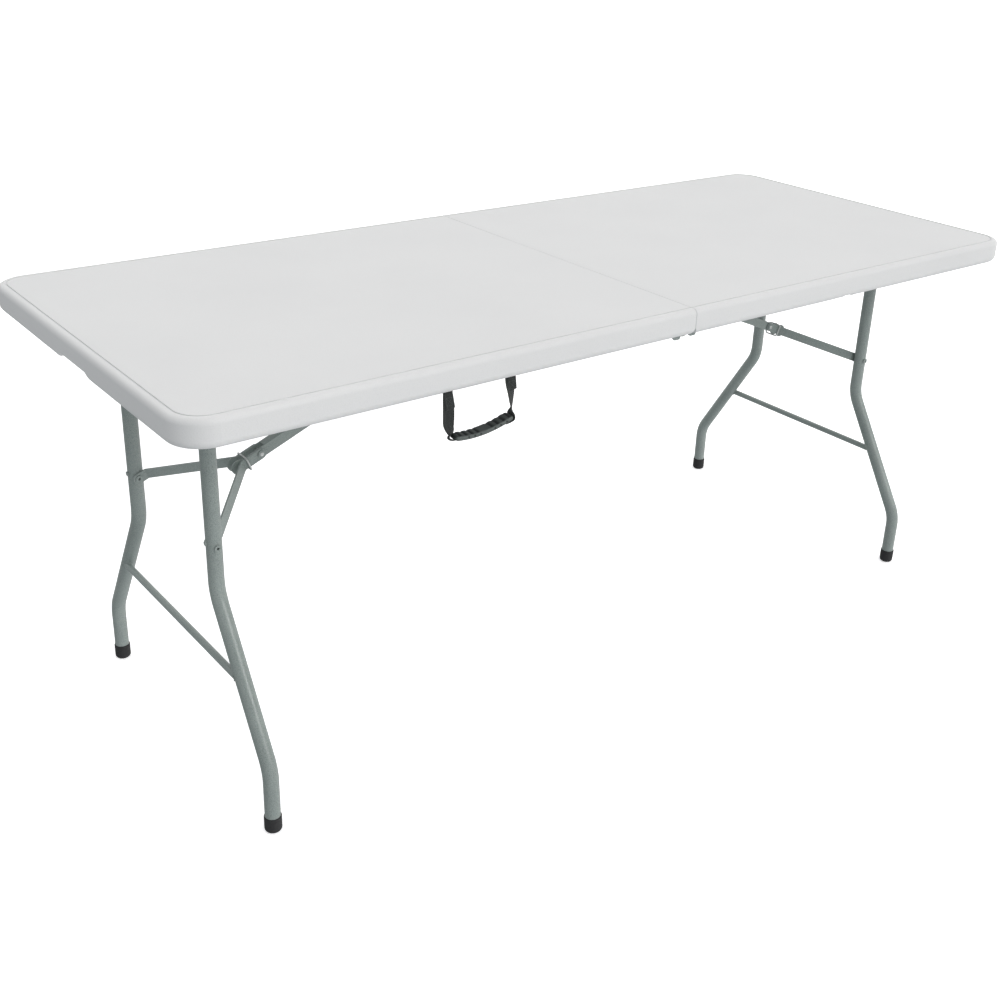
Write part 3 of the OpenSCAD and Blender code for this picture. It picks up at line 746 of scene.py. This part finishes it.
@dataclass(frozen=True)
class StudioFloor:
    """Plain white seamless floor and backdrop, lit from within and clear from outside."""

    colour: Colour = (0.90, 0.90, 0.90)
    shade: Colour = (0.88, 0.88, 0.88)
    drift: float = 1.2
    drift_share: float = 0.15
    glow: float = 0.55
    roughness: float = 0.9

    def build(self) -> Material:
        """A slight mottle inside; the outer side, seen from below the floor, is clear.

        Returns:
            The material.
        """
        g = Graph("studio_floor")
        slow = g.span(g.noise(g.place(), self.drift), 0.0, self.drift_share, *NOISE)
        g.put(g.shader, "Emission Color", opaque(WHITE))
        g.put(g.shader, "Emission Strength", self.glow)
        g.put(g.shader, "Specular IOR Level", 0.0)
        choice = g.node("ShaderNodeMixShader", {
            0: g.node("ShaderNodeNewGeometry").outputs["Backfacing"],
            1: g.node("ShaderNodeBsdfTransparent").outputs[0],
            2: g.shader.outputs["BSDF"]})
        g.link(choice.outputs[0], g.surface)
        return g.finish(g.mix(slow, self.colour, self.shade), self.roughness)


@dataclass(frozen=True)
class Finishes:
    """Every finish of the table, made once."""

    plastic: Material
    coat: Material
    zinc: Material
    rubber: Material
    webbing: Material
    grip: Material
    thread: Material


def dress(material: Material, *parts: str, side: Side | None = None) -> None:
    """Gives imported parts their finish.

    Args:
        material: The finish for all their slots.
        parts: Names of the parts.
        side: Their end of the table, where both ends have them.
    """
    for part in parts:
        node = side.named(part) if side else part
        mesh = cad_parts[node].data
        mesh.materials.clear()
        mesh.materials.append(material)
        log.info("dressed %s in %s", node, material.name)


def settle(piece: bpy.types.Object, body: str) -> bpy.types.Object:
    """Makes a new piece ride on a body, and reports it.

    Args:
        piece: The new piece.
        body: Name of the body that carries it.

    Returns:
        The piece.
    """
    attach(piece, body)
    log.info("built %s on %s: %d faces", piece.name, body, len(piece.data.polygons))
    return piece


# ---- the table's sub-assemblies ----


@dataclass
class TableTop:
    """The two moulded halves."""

    finishes: Finishes

    def build(self) -> None:
        """Dresses both halves."""
        for side in Side:
            dress(self.finishes.plastic, "top", side=side)


@dataclass
class UndersideSteel:
    """Rails, hinges, saddles, brackets and their fasteners."""

    finishes: Finishes

    def build(self) -> None:
        """Dresses the steel and the fasteners."""
        coat, zinc = self.finishes.coat, self.finishes.zinc
        for side in Side:
            dress(coat, "rails", "hinge_leaves", "pivot_saddles", "arm_bracket", side=side)
            dress(zinc, "screws", "arm_root_pin", side=side)
        dress(coat, "hinge_links")
        dress(zinc, "hinge_pins")


@dataclass
class LegFrame:
    """One wishbone leg frame with its welds, caps and brace bolts."""

    finishes: Finishes
    side: Side
    leg_x: float = 0.768
    leg_r: float = 12.5 * MM
    leg_y: float = 0.148
    splay: float = math.atan(150 / 244)  # foot's way out over the way down
    bend_z: float = 0.356
    crossbar_x: float = 0.7745
    crossbar_z: float = 0.239
    crossbar_r: float = 6.0 * MM
    pivot_z: float = 0.710
    pivot_r: float = 11.0 * MM
    bead_r: float = 1.7 * MM
    bead_ripples: int = 15
    bead_swell: float = 0.16

    def bead(self, centre: Span, radius: float, splay: float, leg_y: float,
             flank: int) -> Array:
        """The weld bead where a tube along Y runs into a leg.

        Around the tube, the bead lies where the tube's skin is one leg radius from the
        leg's axis. Its own section is a circle whose radius ripples round the joint.

        Args:
            centre: X and Z of the tube's axis.
            radius: Radius of the tube.
            splay: Lean of the leg's axis from the vertical, in the YZ plane.
            leg_y: Y of the leg's axis at the tube's height.
            flank: -1 where the tube comes from smaller Y, 1 from larger Y.

        Returns:
            Points of shape (n, m, 3).
        """
        a = np.linspace(0, 2 * np.pi, 181)
        dx = centre[0] - self.leg_x + radius * np.cos(a)
        dz = radius * np.sin(a)
        reach = np.sqrt(np.clip(self.leg_r**2 - dx**2, 0.0, None))
        y = leg_y + (flank * reach - dz * math.sin(splay)) / math.cos(splay)
        core = np.stack([self.leg_x + dx, y, centre[1] + dz], axis=1)
        out = np.stack([np.cos(a), np.zeros_like(a), np.sin(a)], axis=1)
        b = np.linspace(0, 2 * np.pi, 13)[:-1]
        ripple = self.bead_r * (1 + self.bead_swell * np.cos(self.bead_ripples * a))
        along = flank * Y_AXIS
        return core[:, None] + ripple[:, None, None] * (
            np.cos(b)[None, :, None] * out[:, None] + np.sin(b)[None, :, None] * along)

    def welds(self) -> Surface:
        """Beads at both ends of the crossbar and on both sides of each leg's top.

        Returns:
            All beads of the frame.
        """
        beads = Surface()
        low_y = self.leg_y + (self.bend_z - self.crossbar_z) * math.tan(self.splay)
        crossbar, pivot = (self.crossbar_x, self.crossbar_z), (self.leg_x, self.pivot_z)
        rings = [self.bead(crossbar, self.crossbar_r, self.splay, low_y, -1)]
        rings += [self.bead(pivot, self.pivot_r, 0.0, self.leg_y, f) for f in (-1, 1)]
        for ring in rings:
            for flank in (1, -1):
                beads.grid(ring * np.array([self.side.value, flank, 1]))
        return beads

    def build(self) -> None:
        """Dresses the frame and lays its welds."""
        side, coat = self.side, self.finishes.coat
        dress(coat, "leg_near", "leg_far", "pivot_tube", "crossbar", "brace_bolts", side=side)
        dress(self.finishes.rubber, "foot_caps", side=side)
        welds = self.welds().build(side.named("frame_welds"), coat)
        settle(welds, side.named("leg_frame"))


@dataclass
class KneeBrace:
    """One brace: arm, V bars, rivets and lock ring."""

    finishes: Finishes
    side: Side
    knee: Span = (0.6153431, 0.498161)
    around: int = 36
    head_y: float = 13.9 * MM
    dome_r: float = 3.5 * MM
    dome_foot: float = 0.5 * MM
    dome_rise: float = 1.1 * MM
    dome_full: float = 0.96
    dimple: float = 0.8 * MM
    dimple_span: Span = (0.12, 0.40)
    sunk: float = 0.2 * MM
    cup_r: float = 6.6 * MM
    cup_top: float = 0.2 * MM
    cup_edge: float = 0.6 * MM
    cup_wall: float = 0.4 * MM
    cup_rim: float = -1.3 * MM
    cup_floor: float = -0.6 * MM

    def capped(self, profile: Array) -> Surface:
        """A profile turned about the knee's axis and seated on both rivet heads.

        Args:
            profile: Radius and height pairs, outwards from the head.

        Returns:
            Both caps.
        """
        both = Surface()
        for flank in (1, -1):
            centre = (self.side.value * self.knee[0], flank * self.head_y, self.knee[1])
            both.grid(turned(profile, centre, (0, flank, 0), self.around))
        return both

    def dome(self) -> Array:
        """Profile of the rivet's end: an arch whose middle sinks where the set struck it.

        Returns:
            Radius and height pairs.
        """
        u = np.linspace(0, 1, 17)
        arch = self.dome_foot + self.dome_rise * np.sqrt(1 - self.dome_full * u**2)
        arch -= self.dimple * (1 - smoothstep(u, *self.dimple_span))
        skirt = [[self.dome_r, -self.sunk], [0.0, -self.sunk]]
        return np.concatenate([np.stack([self.dome_r * u, arch], axis=1), skirt])

    def cup(self) -> Array:
        """Profile of the painted cup over the rivet's head: flat, rounded, then down.

        Returns:
            Radius and height pairs.
        """
        r, edge = self.cup_r, self.cup_edge
        turn = np.linspace(0, math.pi / 2, 7)
        corner = np.stack([r - edge + edge * np.sin(turn),
                           self.cup_top - edge + edge * np.cos(turn)], axis=1)
        inner = r - self.cup_wall
        inside = [[r, self.cup_rim], [inner, self.cup_rim], [inner, self.cup_floor],
                  [0.0, self.cup_floor]]
        return np.concatenate([[[0.0, self.cup_top]], corner, inside])

    def build(self) -> None:
        """Dresses the brace and caps its knee rivet."""
        side, coat, zinc = self.side, self.finishes.coat, self.finishes.zinc
        dress(coat, "arm", "v_bar_near", "v_bar_far", "v_rivets", side=side)
        dress(zinc, "knee_rivet", "lock_ring", side=side)
        domes = self.capped(self.dome()).build(side.named("knee_rivet_domes"), zinc)
        settle(domes, side.named("arm"))
        cups = self.capped(self.cup()).build(side.named("knee_rivet_cups"), coat)
        settle(cups, side.named("arm"))


# Rows of a hanging strap below the rim: x and z in metres, turn in degrees, dip, and
# half width in millimetres. The first hangs flat and curls under the grip's end; the
# second turns until it lies across the grip, and runs along it.
FLAT_TAIL: Rows = (
    (-0.4882, 0.6800, 0, 0, 9.1), (-0.4871, 0.6670, 0, 0, 9.9), (-0.4869, 0.6540, 0, 0, 10),
    (-0.4866, 0.6450, 3, 0, 10), (-0.4838, 0.6358, 19, 0, 10), (-0.4816, 0.6296, 34, 0.1, 9.4),
    (-0.4836, 0.6258, 46, 0.3, 8.0), (-0.4850, 0.6230, 52, 0.5, 7.5),
    (-0.4838, 0.6200, 58, 0.55, 7.5), (-0.4798, 0.6174, 70, 0.55, 7.5),
    (-0.4740, 0.6156, 84, 0.5, 7.5), (-0.4672, 0.6158, 90, 0.4, 7.0),
    (-0.4620, 0.6172, 90, 0.2, 6.5))
TWISTED_TAIL: Rows = (
    (-0.3748, 0.6840, 10, 0, 10), (-0.3738, 0.6760, 20, 0, 10), (-0.3728, 0.6680, 27, 0, 10),
    (-0.3721, 0.6600, 34, 0, 10), (-0.3714, 0.6520, 42, 0, 10), (-0.3710, 0.6450, 51, 0, 10),
    (-0.3712, 0.6405, 68, 0, 10), (-0.3715, 0.6365, 84, 0, 10), (-0.3716, 0.6325, 90, 0, 10),
    (-0.3726, 0.6282, 90, 0, 10), (-0.3775, 0.6262, 90, 0, 10), (-0.3880, 0.6246, 90, 0, 10))


@dataclass
class CarryHandle:
    """Webbing straps and moulded grip at the near edge of the left half."""

    finishes: Finishes
    hang_y: float = -0.358
    pivot_z: float = 0.69625
    flat_x: float = -0.4889
    flat_half: float = 8.5 * MM
    twisted_x: float = -0.3755
    twisted_half: float = 9.6 * MM
    strap_thick: float = 1.3 * MM
    strap_count: int = 170
    edge_power: float = 7.0
    edge_count: int = 40
    layer_half: float = 8.0 * MM
    layer_thick: float = 1.2 * MM
    layer_count: int = 40
    layer_gap: float = 1.3 * MM
    layer_top: float = 0.6945
    layers: Rows = ((-0.4898, -0.4845, 0.6676), (-0.3744, -0.3718, 0.6738))
    stitch_at: Rows = ((-0.4870, 0.6800), (-0.3732, 0.6825))
    stitch_box: Span = (5.8 * MM, 6.2 * MM)
    stitch_pitch: float = 2.6 * MM
    stitch_share: float = 0.40
    stitch_lean: float = -0.18
    stitch_rise: float = 0.20 * MM
    thread_half: Span = (0.26 * MM, 0.30 * MM)
    grip_x: Span = (-0.4790, -0.3742)
    grip_mid: float = -0.432
    grip_z: float = 0.6280
    grip_slope: float = 9 / 112
    grip_sag: float = 8.0 * MM
    grip_span: float = 0.112
    grip_half: Span = (11.0 * MM, 5.0 * MM)
    grip_power: float = 2.7
    grip_count: int = 420
    grip_bunch: float = 0.97
    ring_count: int = 96
    end_round: float = 4.5 * MM
    end_taper: float = 6.0 * MM
    groove_x: tuple[float, ...] = (-0.4715, -0.4605, -0.4495, -0.4385,
                                   -0.4125, -0.4015, -0.3905, -0.3795)
    groove_deep: float = 2.4 * MM
    groove_half: float = 2.5 * MM
    groove_top: Span = (0.25, 0.80)
    groove_front: Span = (-0.93, -0.55)
    dimple_step: float = 3.2 * MM
    dimple_half: float = 1.5 * MM
    dimple_deep: float = 1.3 * MM
    dimple_mid: float = 0.05
    dimple_tall: float = 0.40
    dimple_face: float = -0.6
    front_lean: float = 0.55
    front_span: Span = (0.30, 0.75)

    def strap_rows(self, x: float, slot_half: float, tail: Rows) -> list[list[float]]:
        """Control rows of a strap: place, turn in degrees, dip and half width.

        The strap comes down the inside of the rim, out through its slot and over the
        edge, then hangs and turns as the tail says.

        Args:
            x: Middle of the strap at the rim.
            slot_half: Half width of the strap in its slot.
            tail: Rows below the rim: x, z, turn, dip and half width in millimetres.

        Returns:
            The rows, in metres and degrees.
        """
        head = [[x, -0.3489, 0.7135], [x, -0.3489, 0.7040], [x, -0.3492, 0.6990],
                [x, -0.3515, 0.6973], [x, -0.3550, 0.6973], [x, -0.3575, 0.6962],
                [x, self.hang_y, 0.6920]]
        rows = [row + [0.0, 0.0, slot_half] for row in head]
        return rows + [[t[0], self.hang_y, t[1], t[2], t[3], t[4] * MM] for t in tail]

    def ribbon(self, rows: Rows, count: int, thick: float) -> tuple[Array, Array]:
        """A woven band along control rows, with its coordinates along and across.

        The side axis turns about the vertical by the fourth column and dips by the
        fifth; the section is a flat superellipse of the sixth column's half width.

        Args:
            rows: Control rows, as strap_rows gives them.
            count: Rows of the finished band.
            thick: Thickness of the band.

        Returns:
            The band's skin and its UV map in metres.
        """
        path = eased(rows, count)
        turn = np.radians(path[:, 3])
        hint = np.stack([np.cos(turn), np.sin(turn), -path[:, 4]], axis=1)
        half = np.stack([path[:, 5], np.full(count, thick / 2)], axis=1)
        section = oval(self.edge_power, self.edge_count) * half[:, None]
        skin = sweep(path[:, :3], hint, section)
        along = np.broadcast_to(np.cumsum(steps_of(path[:, :3]))[:, None], skin.shape[:2])
        uv = np.stack([along, section[..., 0]], axis=-1)
        return closed_ends(skin), np.concatenate([uv[:1], uv, uv[-1:]])

    def straps(self) -> bpy.types.Object:
        """Both straps: one hangs flat and curls under the grip, the other twists.

        Returns:
            The piece.
        """
        both = Surface()
        for rows in (self.strap_rows(self.flat_x, self.flat_half, FLAT_TAIL),
                     self.strap_rows(self.twisted_x, self.twisted_half, TWISTED_TAIL)):
            both.grid(*self.ribbon(rows, self.strap_count, self.strap_thick))
        return both.build("handle_webbing", self.finishes.webbing)

    def doublings(self) -> bpy.types.Object:
        """The sewn-on ends in front of both straps, a little askew.

        Returns:
            The piece.
        """
        y, half = self.hang_y - self.layer_gap, self.layer_half
        both = Surface()
        for top, low, end in self.layers:
            rows = [[top, y, self.layer_top, 0, 0, half],
                    [(top + low) / 2, y, (self.layer_top + end) / 2, 0, 0, half],
                    [low, y, end, 0, 0, half]]
            both.grid(*self.ribbon(rows, self.layer_count, self.layer_thick))
        return both.build("handle_webbing_ends", self.finishes.webbing)

    def stitches(self) -> bpy.types.Object:
        """A boxed cross of thread on each doubled end.

        Each stitch is a thin oval carried along a short arch that stands a little
        proud of the strap.

        Returns:
            The piece.
        """
        thread = Surface()
        face_y = self.hang_y - self.layer_gap - self.layer_thick / 2
        corners = np.array([[-1, -1], [1, -1], [1, 1], [-1, 1]]) * self.stitch_box
        lines = [(corners[i], corners[j])
                 for i, j in ((0, 1), (1, 2), (2, 3), (3, 0), (0, 2), (1, 3))]
        t = np.linspace(-1, 1, 7)
        y = face_y + self.stitch_rise / 2 - self.stitch_rise * (1 - t**2)
        section = oval(2.0, 6) * self.thread_half
        for mid_x, mid_z in self.stitch_at:
            for start, end in lines:
                number = max(3, round(np.linalg.norm(end - start) / self.stitch_pitch))
                reach = (end - start) / number * self.stitch_share
                for k in range(number):
                    middle = start + (end - start) * (k + 0.5) / number
                    across = mid_x + self.stitch_lean * middle[1] + middle[0]
                    path = np.stack([across + reach[0] * t, y,
                                     mid_z + middle[1] + reach[1] * t], axis=1)
                    skin = sweep(path, Y_AXIS, section)
                    thread.grid(closed_ends(skin))
        return thread.build("handle_stitches", self.finishes.thread)

    def grip_line(self) -> tuple[Array, Array]:
        """The grip's middle line, a leaning parabola with its points drawn to the ends.

        Returns:
            The points, and the distance of each from the nearer end.
        """
        x0, x1 = self.grip_x
        bunch = self.grip_bunch * np.pi / 2
        share = np.sin(np.linspace(-1, 1, self.grip_count) * bunch) / math.sin(bunch)
        x = (x0 + x1) / 2 + (x1 - x0) / 2 * share
        off = (x - self.grip_mid) / (self.grip_span / 2)
        z = self.grip_z + self.grip_slope * (x - self.grip_mid) - self.grip_sag * (1 - off**2)
        return np.stack([x, np.full_like(x, self.hang_y), z], axis=1), np.minimum(x - x0, x1 - x)

    def grip(self) -> bpy.types.Object:
        """The moulded grip: a sagging bar with grooved top and dimpled front.

        The section is a superellipse whose last millimetres shrink by a circle's law
        at each end. Each groove lowers the top by a flat-bottomed bell of x, and each
        dimple sinks the front edge by a round bell. The UV map holds the share of
        front face and of groove.

        Returns:
            The piece.
        """
        path, inset = self.grip_line()
        x = path[:, :1]
        rounding, shrink = (np.sqrt(np.clip(1 - (1 - np.clip(inset / reach, 0.02, 1)) ** 2, 0, 1))
                            for reach in (self.end_round, self.end_taper))
        half = np.stack([self.grip_half[0] - self.end_round * (1 - rounding),
                         self.grip_half[1] * shrink], axis=1)
        ring = oval(self.grip_power, self.ring_count)
        section = ring * half[:, None]
        bell = np.exp(-((x - np.array(self.groove_x)) / self.groove_half) ** 4).sum(1)
        top = smoothstep(ring[:, 1], *self.groove_top)
        groove = bell[:, None] * (top * smoothstep(ring[:, 0], *self.groove_front))[None]
        section[..., 1] -= self.groove_deep * groove * shrink[:, None]
        dots = (x - np.array(self.groove_x[1:-1]) - self.dimple_step) / self.dimple_half
        height = (ring[:, 1] - self.dimple_mid) / self.dimple_tall
        dot = np.exp(-dots**2).sum(1)[:, None] * np.exp(-height**2)
        dot *= ring[:, 0] < self.dimple_face
        section[..., 0] += self.dimple_deep * dot * shrink[:, None]
        skin = sweep(path, Y_AXIS, section)
        front = smoothstep(-ring[:, 0] - self.front_lean * ring[:, 1], *self.front_span)
        front = np.broadcast_to(front, groove.shape)
        # The second coordinate marks the grooves and dimples, where the grip's finish paints
        # shade.
        uv = np.stack([front, np.clip(groove + dot, 0, 1)], axis=-1)
        bar = Surface()
        bar.grid(closed_ends(skin), np.concatenate([uv[:1], uv, uv[-1:]]))
        return bar.build("handle_moulded_grip", self.finishes.grip)

    def build(self) -> None:
        """Makes the webbing, its stitches and the grip."""
        webbing = self.straps()
        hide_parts("handle_straps", "strap_anchors")
        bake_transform(webbing)
        log.info("built %s between left_half and handle", webbing.name)
        settle(self.doublings(), "handle")
        settle(self.stitches(), "handle")
        grip = settle(self.grip(), "handle")
        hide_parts("handle_grip")


# ---- studio ----


@dataclass
class Studio:
    """Pale floor, soft light and the camera."""

    camera_at: Place = (-1.4770, -1.7605, 1.3702)
    yaw: float = 0.6879
    pitch: float = -0.4155
    roll: float = 0.0435
    lens: float = 46.0
    sensor: float = 36.0
    shift: Span = (-0.0339, -0.0537)
    far_clip: float = 200.0
    floor_reach: float = 30.0
    floor_bend: float = 12.0
    wall_top: float = 40.0
    floor_z: float = -0.2 * MM
    light_from: Place = (0.765, -0.090, 0.610)
    light_mean: float = 0.70
    light_swing: float = 0.28
    light_dip: float = 0.50
    box_from: Place = (0.27, -0.80, 0.53)
    box_angles: Span = (15.0, 9.0)
    box_glow: float = 6.5
    cool: Colour = (0.93, 0.97, 1.0)
    cool_span: Span = (-0.8, 0.4)

    def floor(self) -> None:
        """A wide floor whose rim curves up into a wall and over.

        The profile is a straight run, a quarter circle, a straight wall and a flat lid,
        turned about the vertical axis.
        """
        bend, wall = self.floor_bend, self.floor_reach + self.floor_bend
        turn = np.linspace(0, math.pi / 2, 12)
        curve = np.stack([self.floor_reach + bend * np.sin(turn), bend - bend * np.cos(turn)],
                         axis=1)
        profile = np.concatenate([[[0.0, 0.0], [self.floor_reach, 0.0]], curve,
                                  [[wall, self.wall_top], [0.0, self.wall_top]]])
        surface = Surface()
        surface.grid(turned(profile, (0, 0, self.floor_z), (0, 0, 1), 64))
        stage = surface.build("studio_floor", StudioFloor().build())
        stage.visible_diffuse = False
        stage.visible_glossy = False
        stage.visible_shadow = False

    def camera(self) -> None:
        """The camera, from its place and its three angles.

        The view axis is (sin yaw cos pitch, cos yaw cos pitch, sin pitch). The level
        right axis and the up axis are turned about it by the roll.
        """
        forward = np.array([math.sin(self.yaw) * math.cos(self.pitch),
                            math.cos(self.yaw) * math.cos(self.pitch), math.sin(self.pitch)])
        right = np.cross(forward, [0, 0, 1])
        right /= np.linalg.norm(right)
        up = np.cross(right, forward)
        c, s = math.cos(self.roll), math.sin(self.roll)
        across, above = c * right + s * up, -s * right + c * up
        turn = Matrix(np.stack([across, above, -forward], axis=1).tolist()).to_4x4()
        data = bpy.data.cameras.new("camera")
        data.lens = self.lens
        data.sensor_width = self.sensor
        data.shift_x, data.shift_y = self.shift
        data.clip_end = self.far_clip
        eye = bpy.data.objects.new("camera", data)
        eye.matrix_world = Matrix.Translation(self.camera_at) @ turn
        bpy.context.scene.collection.objects.link(eye)
        bpy.context.scene.camera = eye

    def light(self) -> None:
        """Soft light from all round, strongest from the right and above.

        Its strength in a direction is the mean, plus the swing times the cosine of the
        angle to the main direction, plus the dip times y times z, which takes some
        light from between the front and the zenith. A round softbox in front adds its
        glow inside its angles, with a smooth edge. The weak side is a little cooler.
        """
        world = bpy.data.worlds.new("studio_air")
        world.use_nodes = True
        sky = Nodes(world.node_tree)
        ahead = sky.node("ShaderNodeTexCoord").outputs["Generated"]
        main = sky.dot(ahead, Vector(self.light_from).normalized())
        soft = sky.math("MULTIPLY_ADD", main, self.light_swing, self.light_mean)
        _, y, z = sky.parts(ahead)
        soft = sky.math("MULTIPLY_ADD", sky.times(y, z), self.light_dip, soft)
        outer, inner = (math.cos(math.radians(angle)) for angle in self.box_angles)
        box = sky.dot(ahead, Vector(self.box_from).normalized())
        glow = sky.span(box, 0.0, self.box_glow, outer, inner, "SMOOTHSTEP")
        air = sky.tree.nodes["Background"]
        sky.put(air, "Strength", sky.math("ADD", glow, soft))
        warmth = sky.span(main, 0.0, 1.0, *self.cool_span)
        sky.put(air, "Color", sky.mix(warmth, self.cool, WHITE))
        bpy.context.scene.world = world
        bpy.context.scene.view_settings.view_transform = "Standard"

    def build(self) -> None:
        """Floor, camera and light."""
        self.floor()
        self.camera()
        self.light()


def main() -> None:
    """Builds the table's looks piece by piece."""
    logging.basicConfig(level=logging.INFO, format="%(name)s: %(message)s")
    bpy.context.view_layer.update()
    Studio().build()
    finishes = Finishes(
        plastic=MouldedPlastic().build(), coat=PowderCoat().build(), zinc=ZincPlate().build(),
        rubber=FootRubber().build(), webbing=WovenWebbing().build(), grip=GripPlastic().build(),
        thread=StitchThread().build())
    TableTop(finishes).build()
    UndersideSteel(finishes).build()
    for side in Side:
        LegFrame(finishes, side).build()
        KneeBrace(finishes, side).build()
    CarryHandle(finishes).build()
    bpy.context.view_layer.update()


if __name__ == "__main__":
    main()
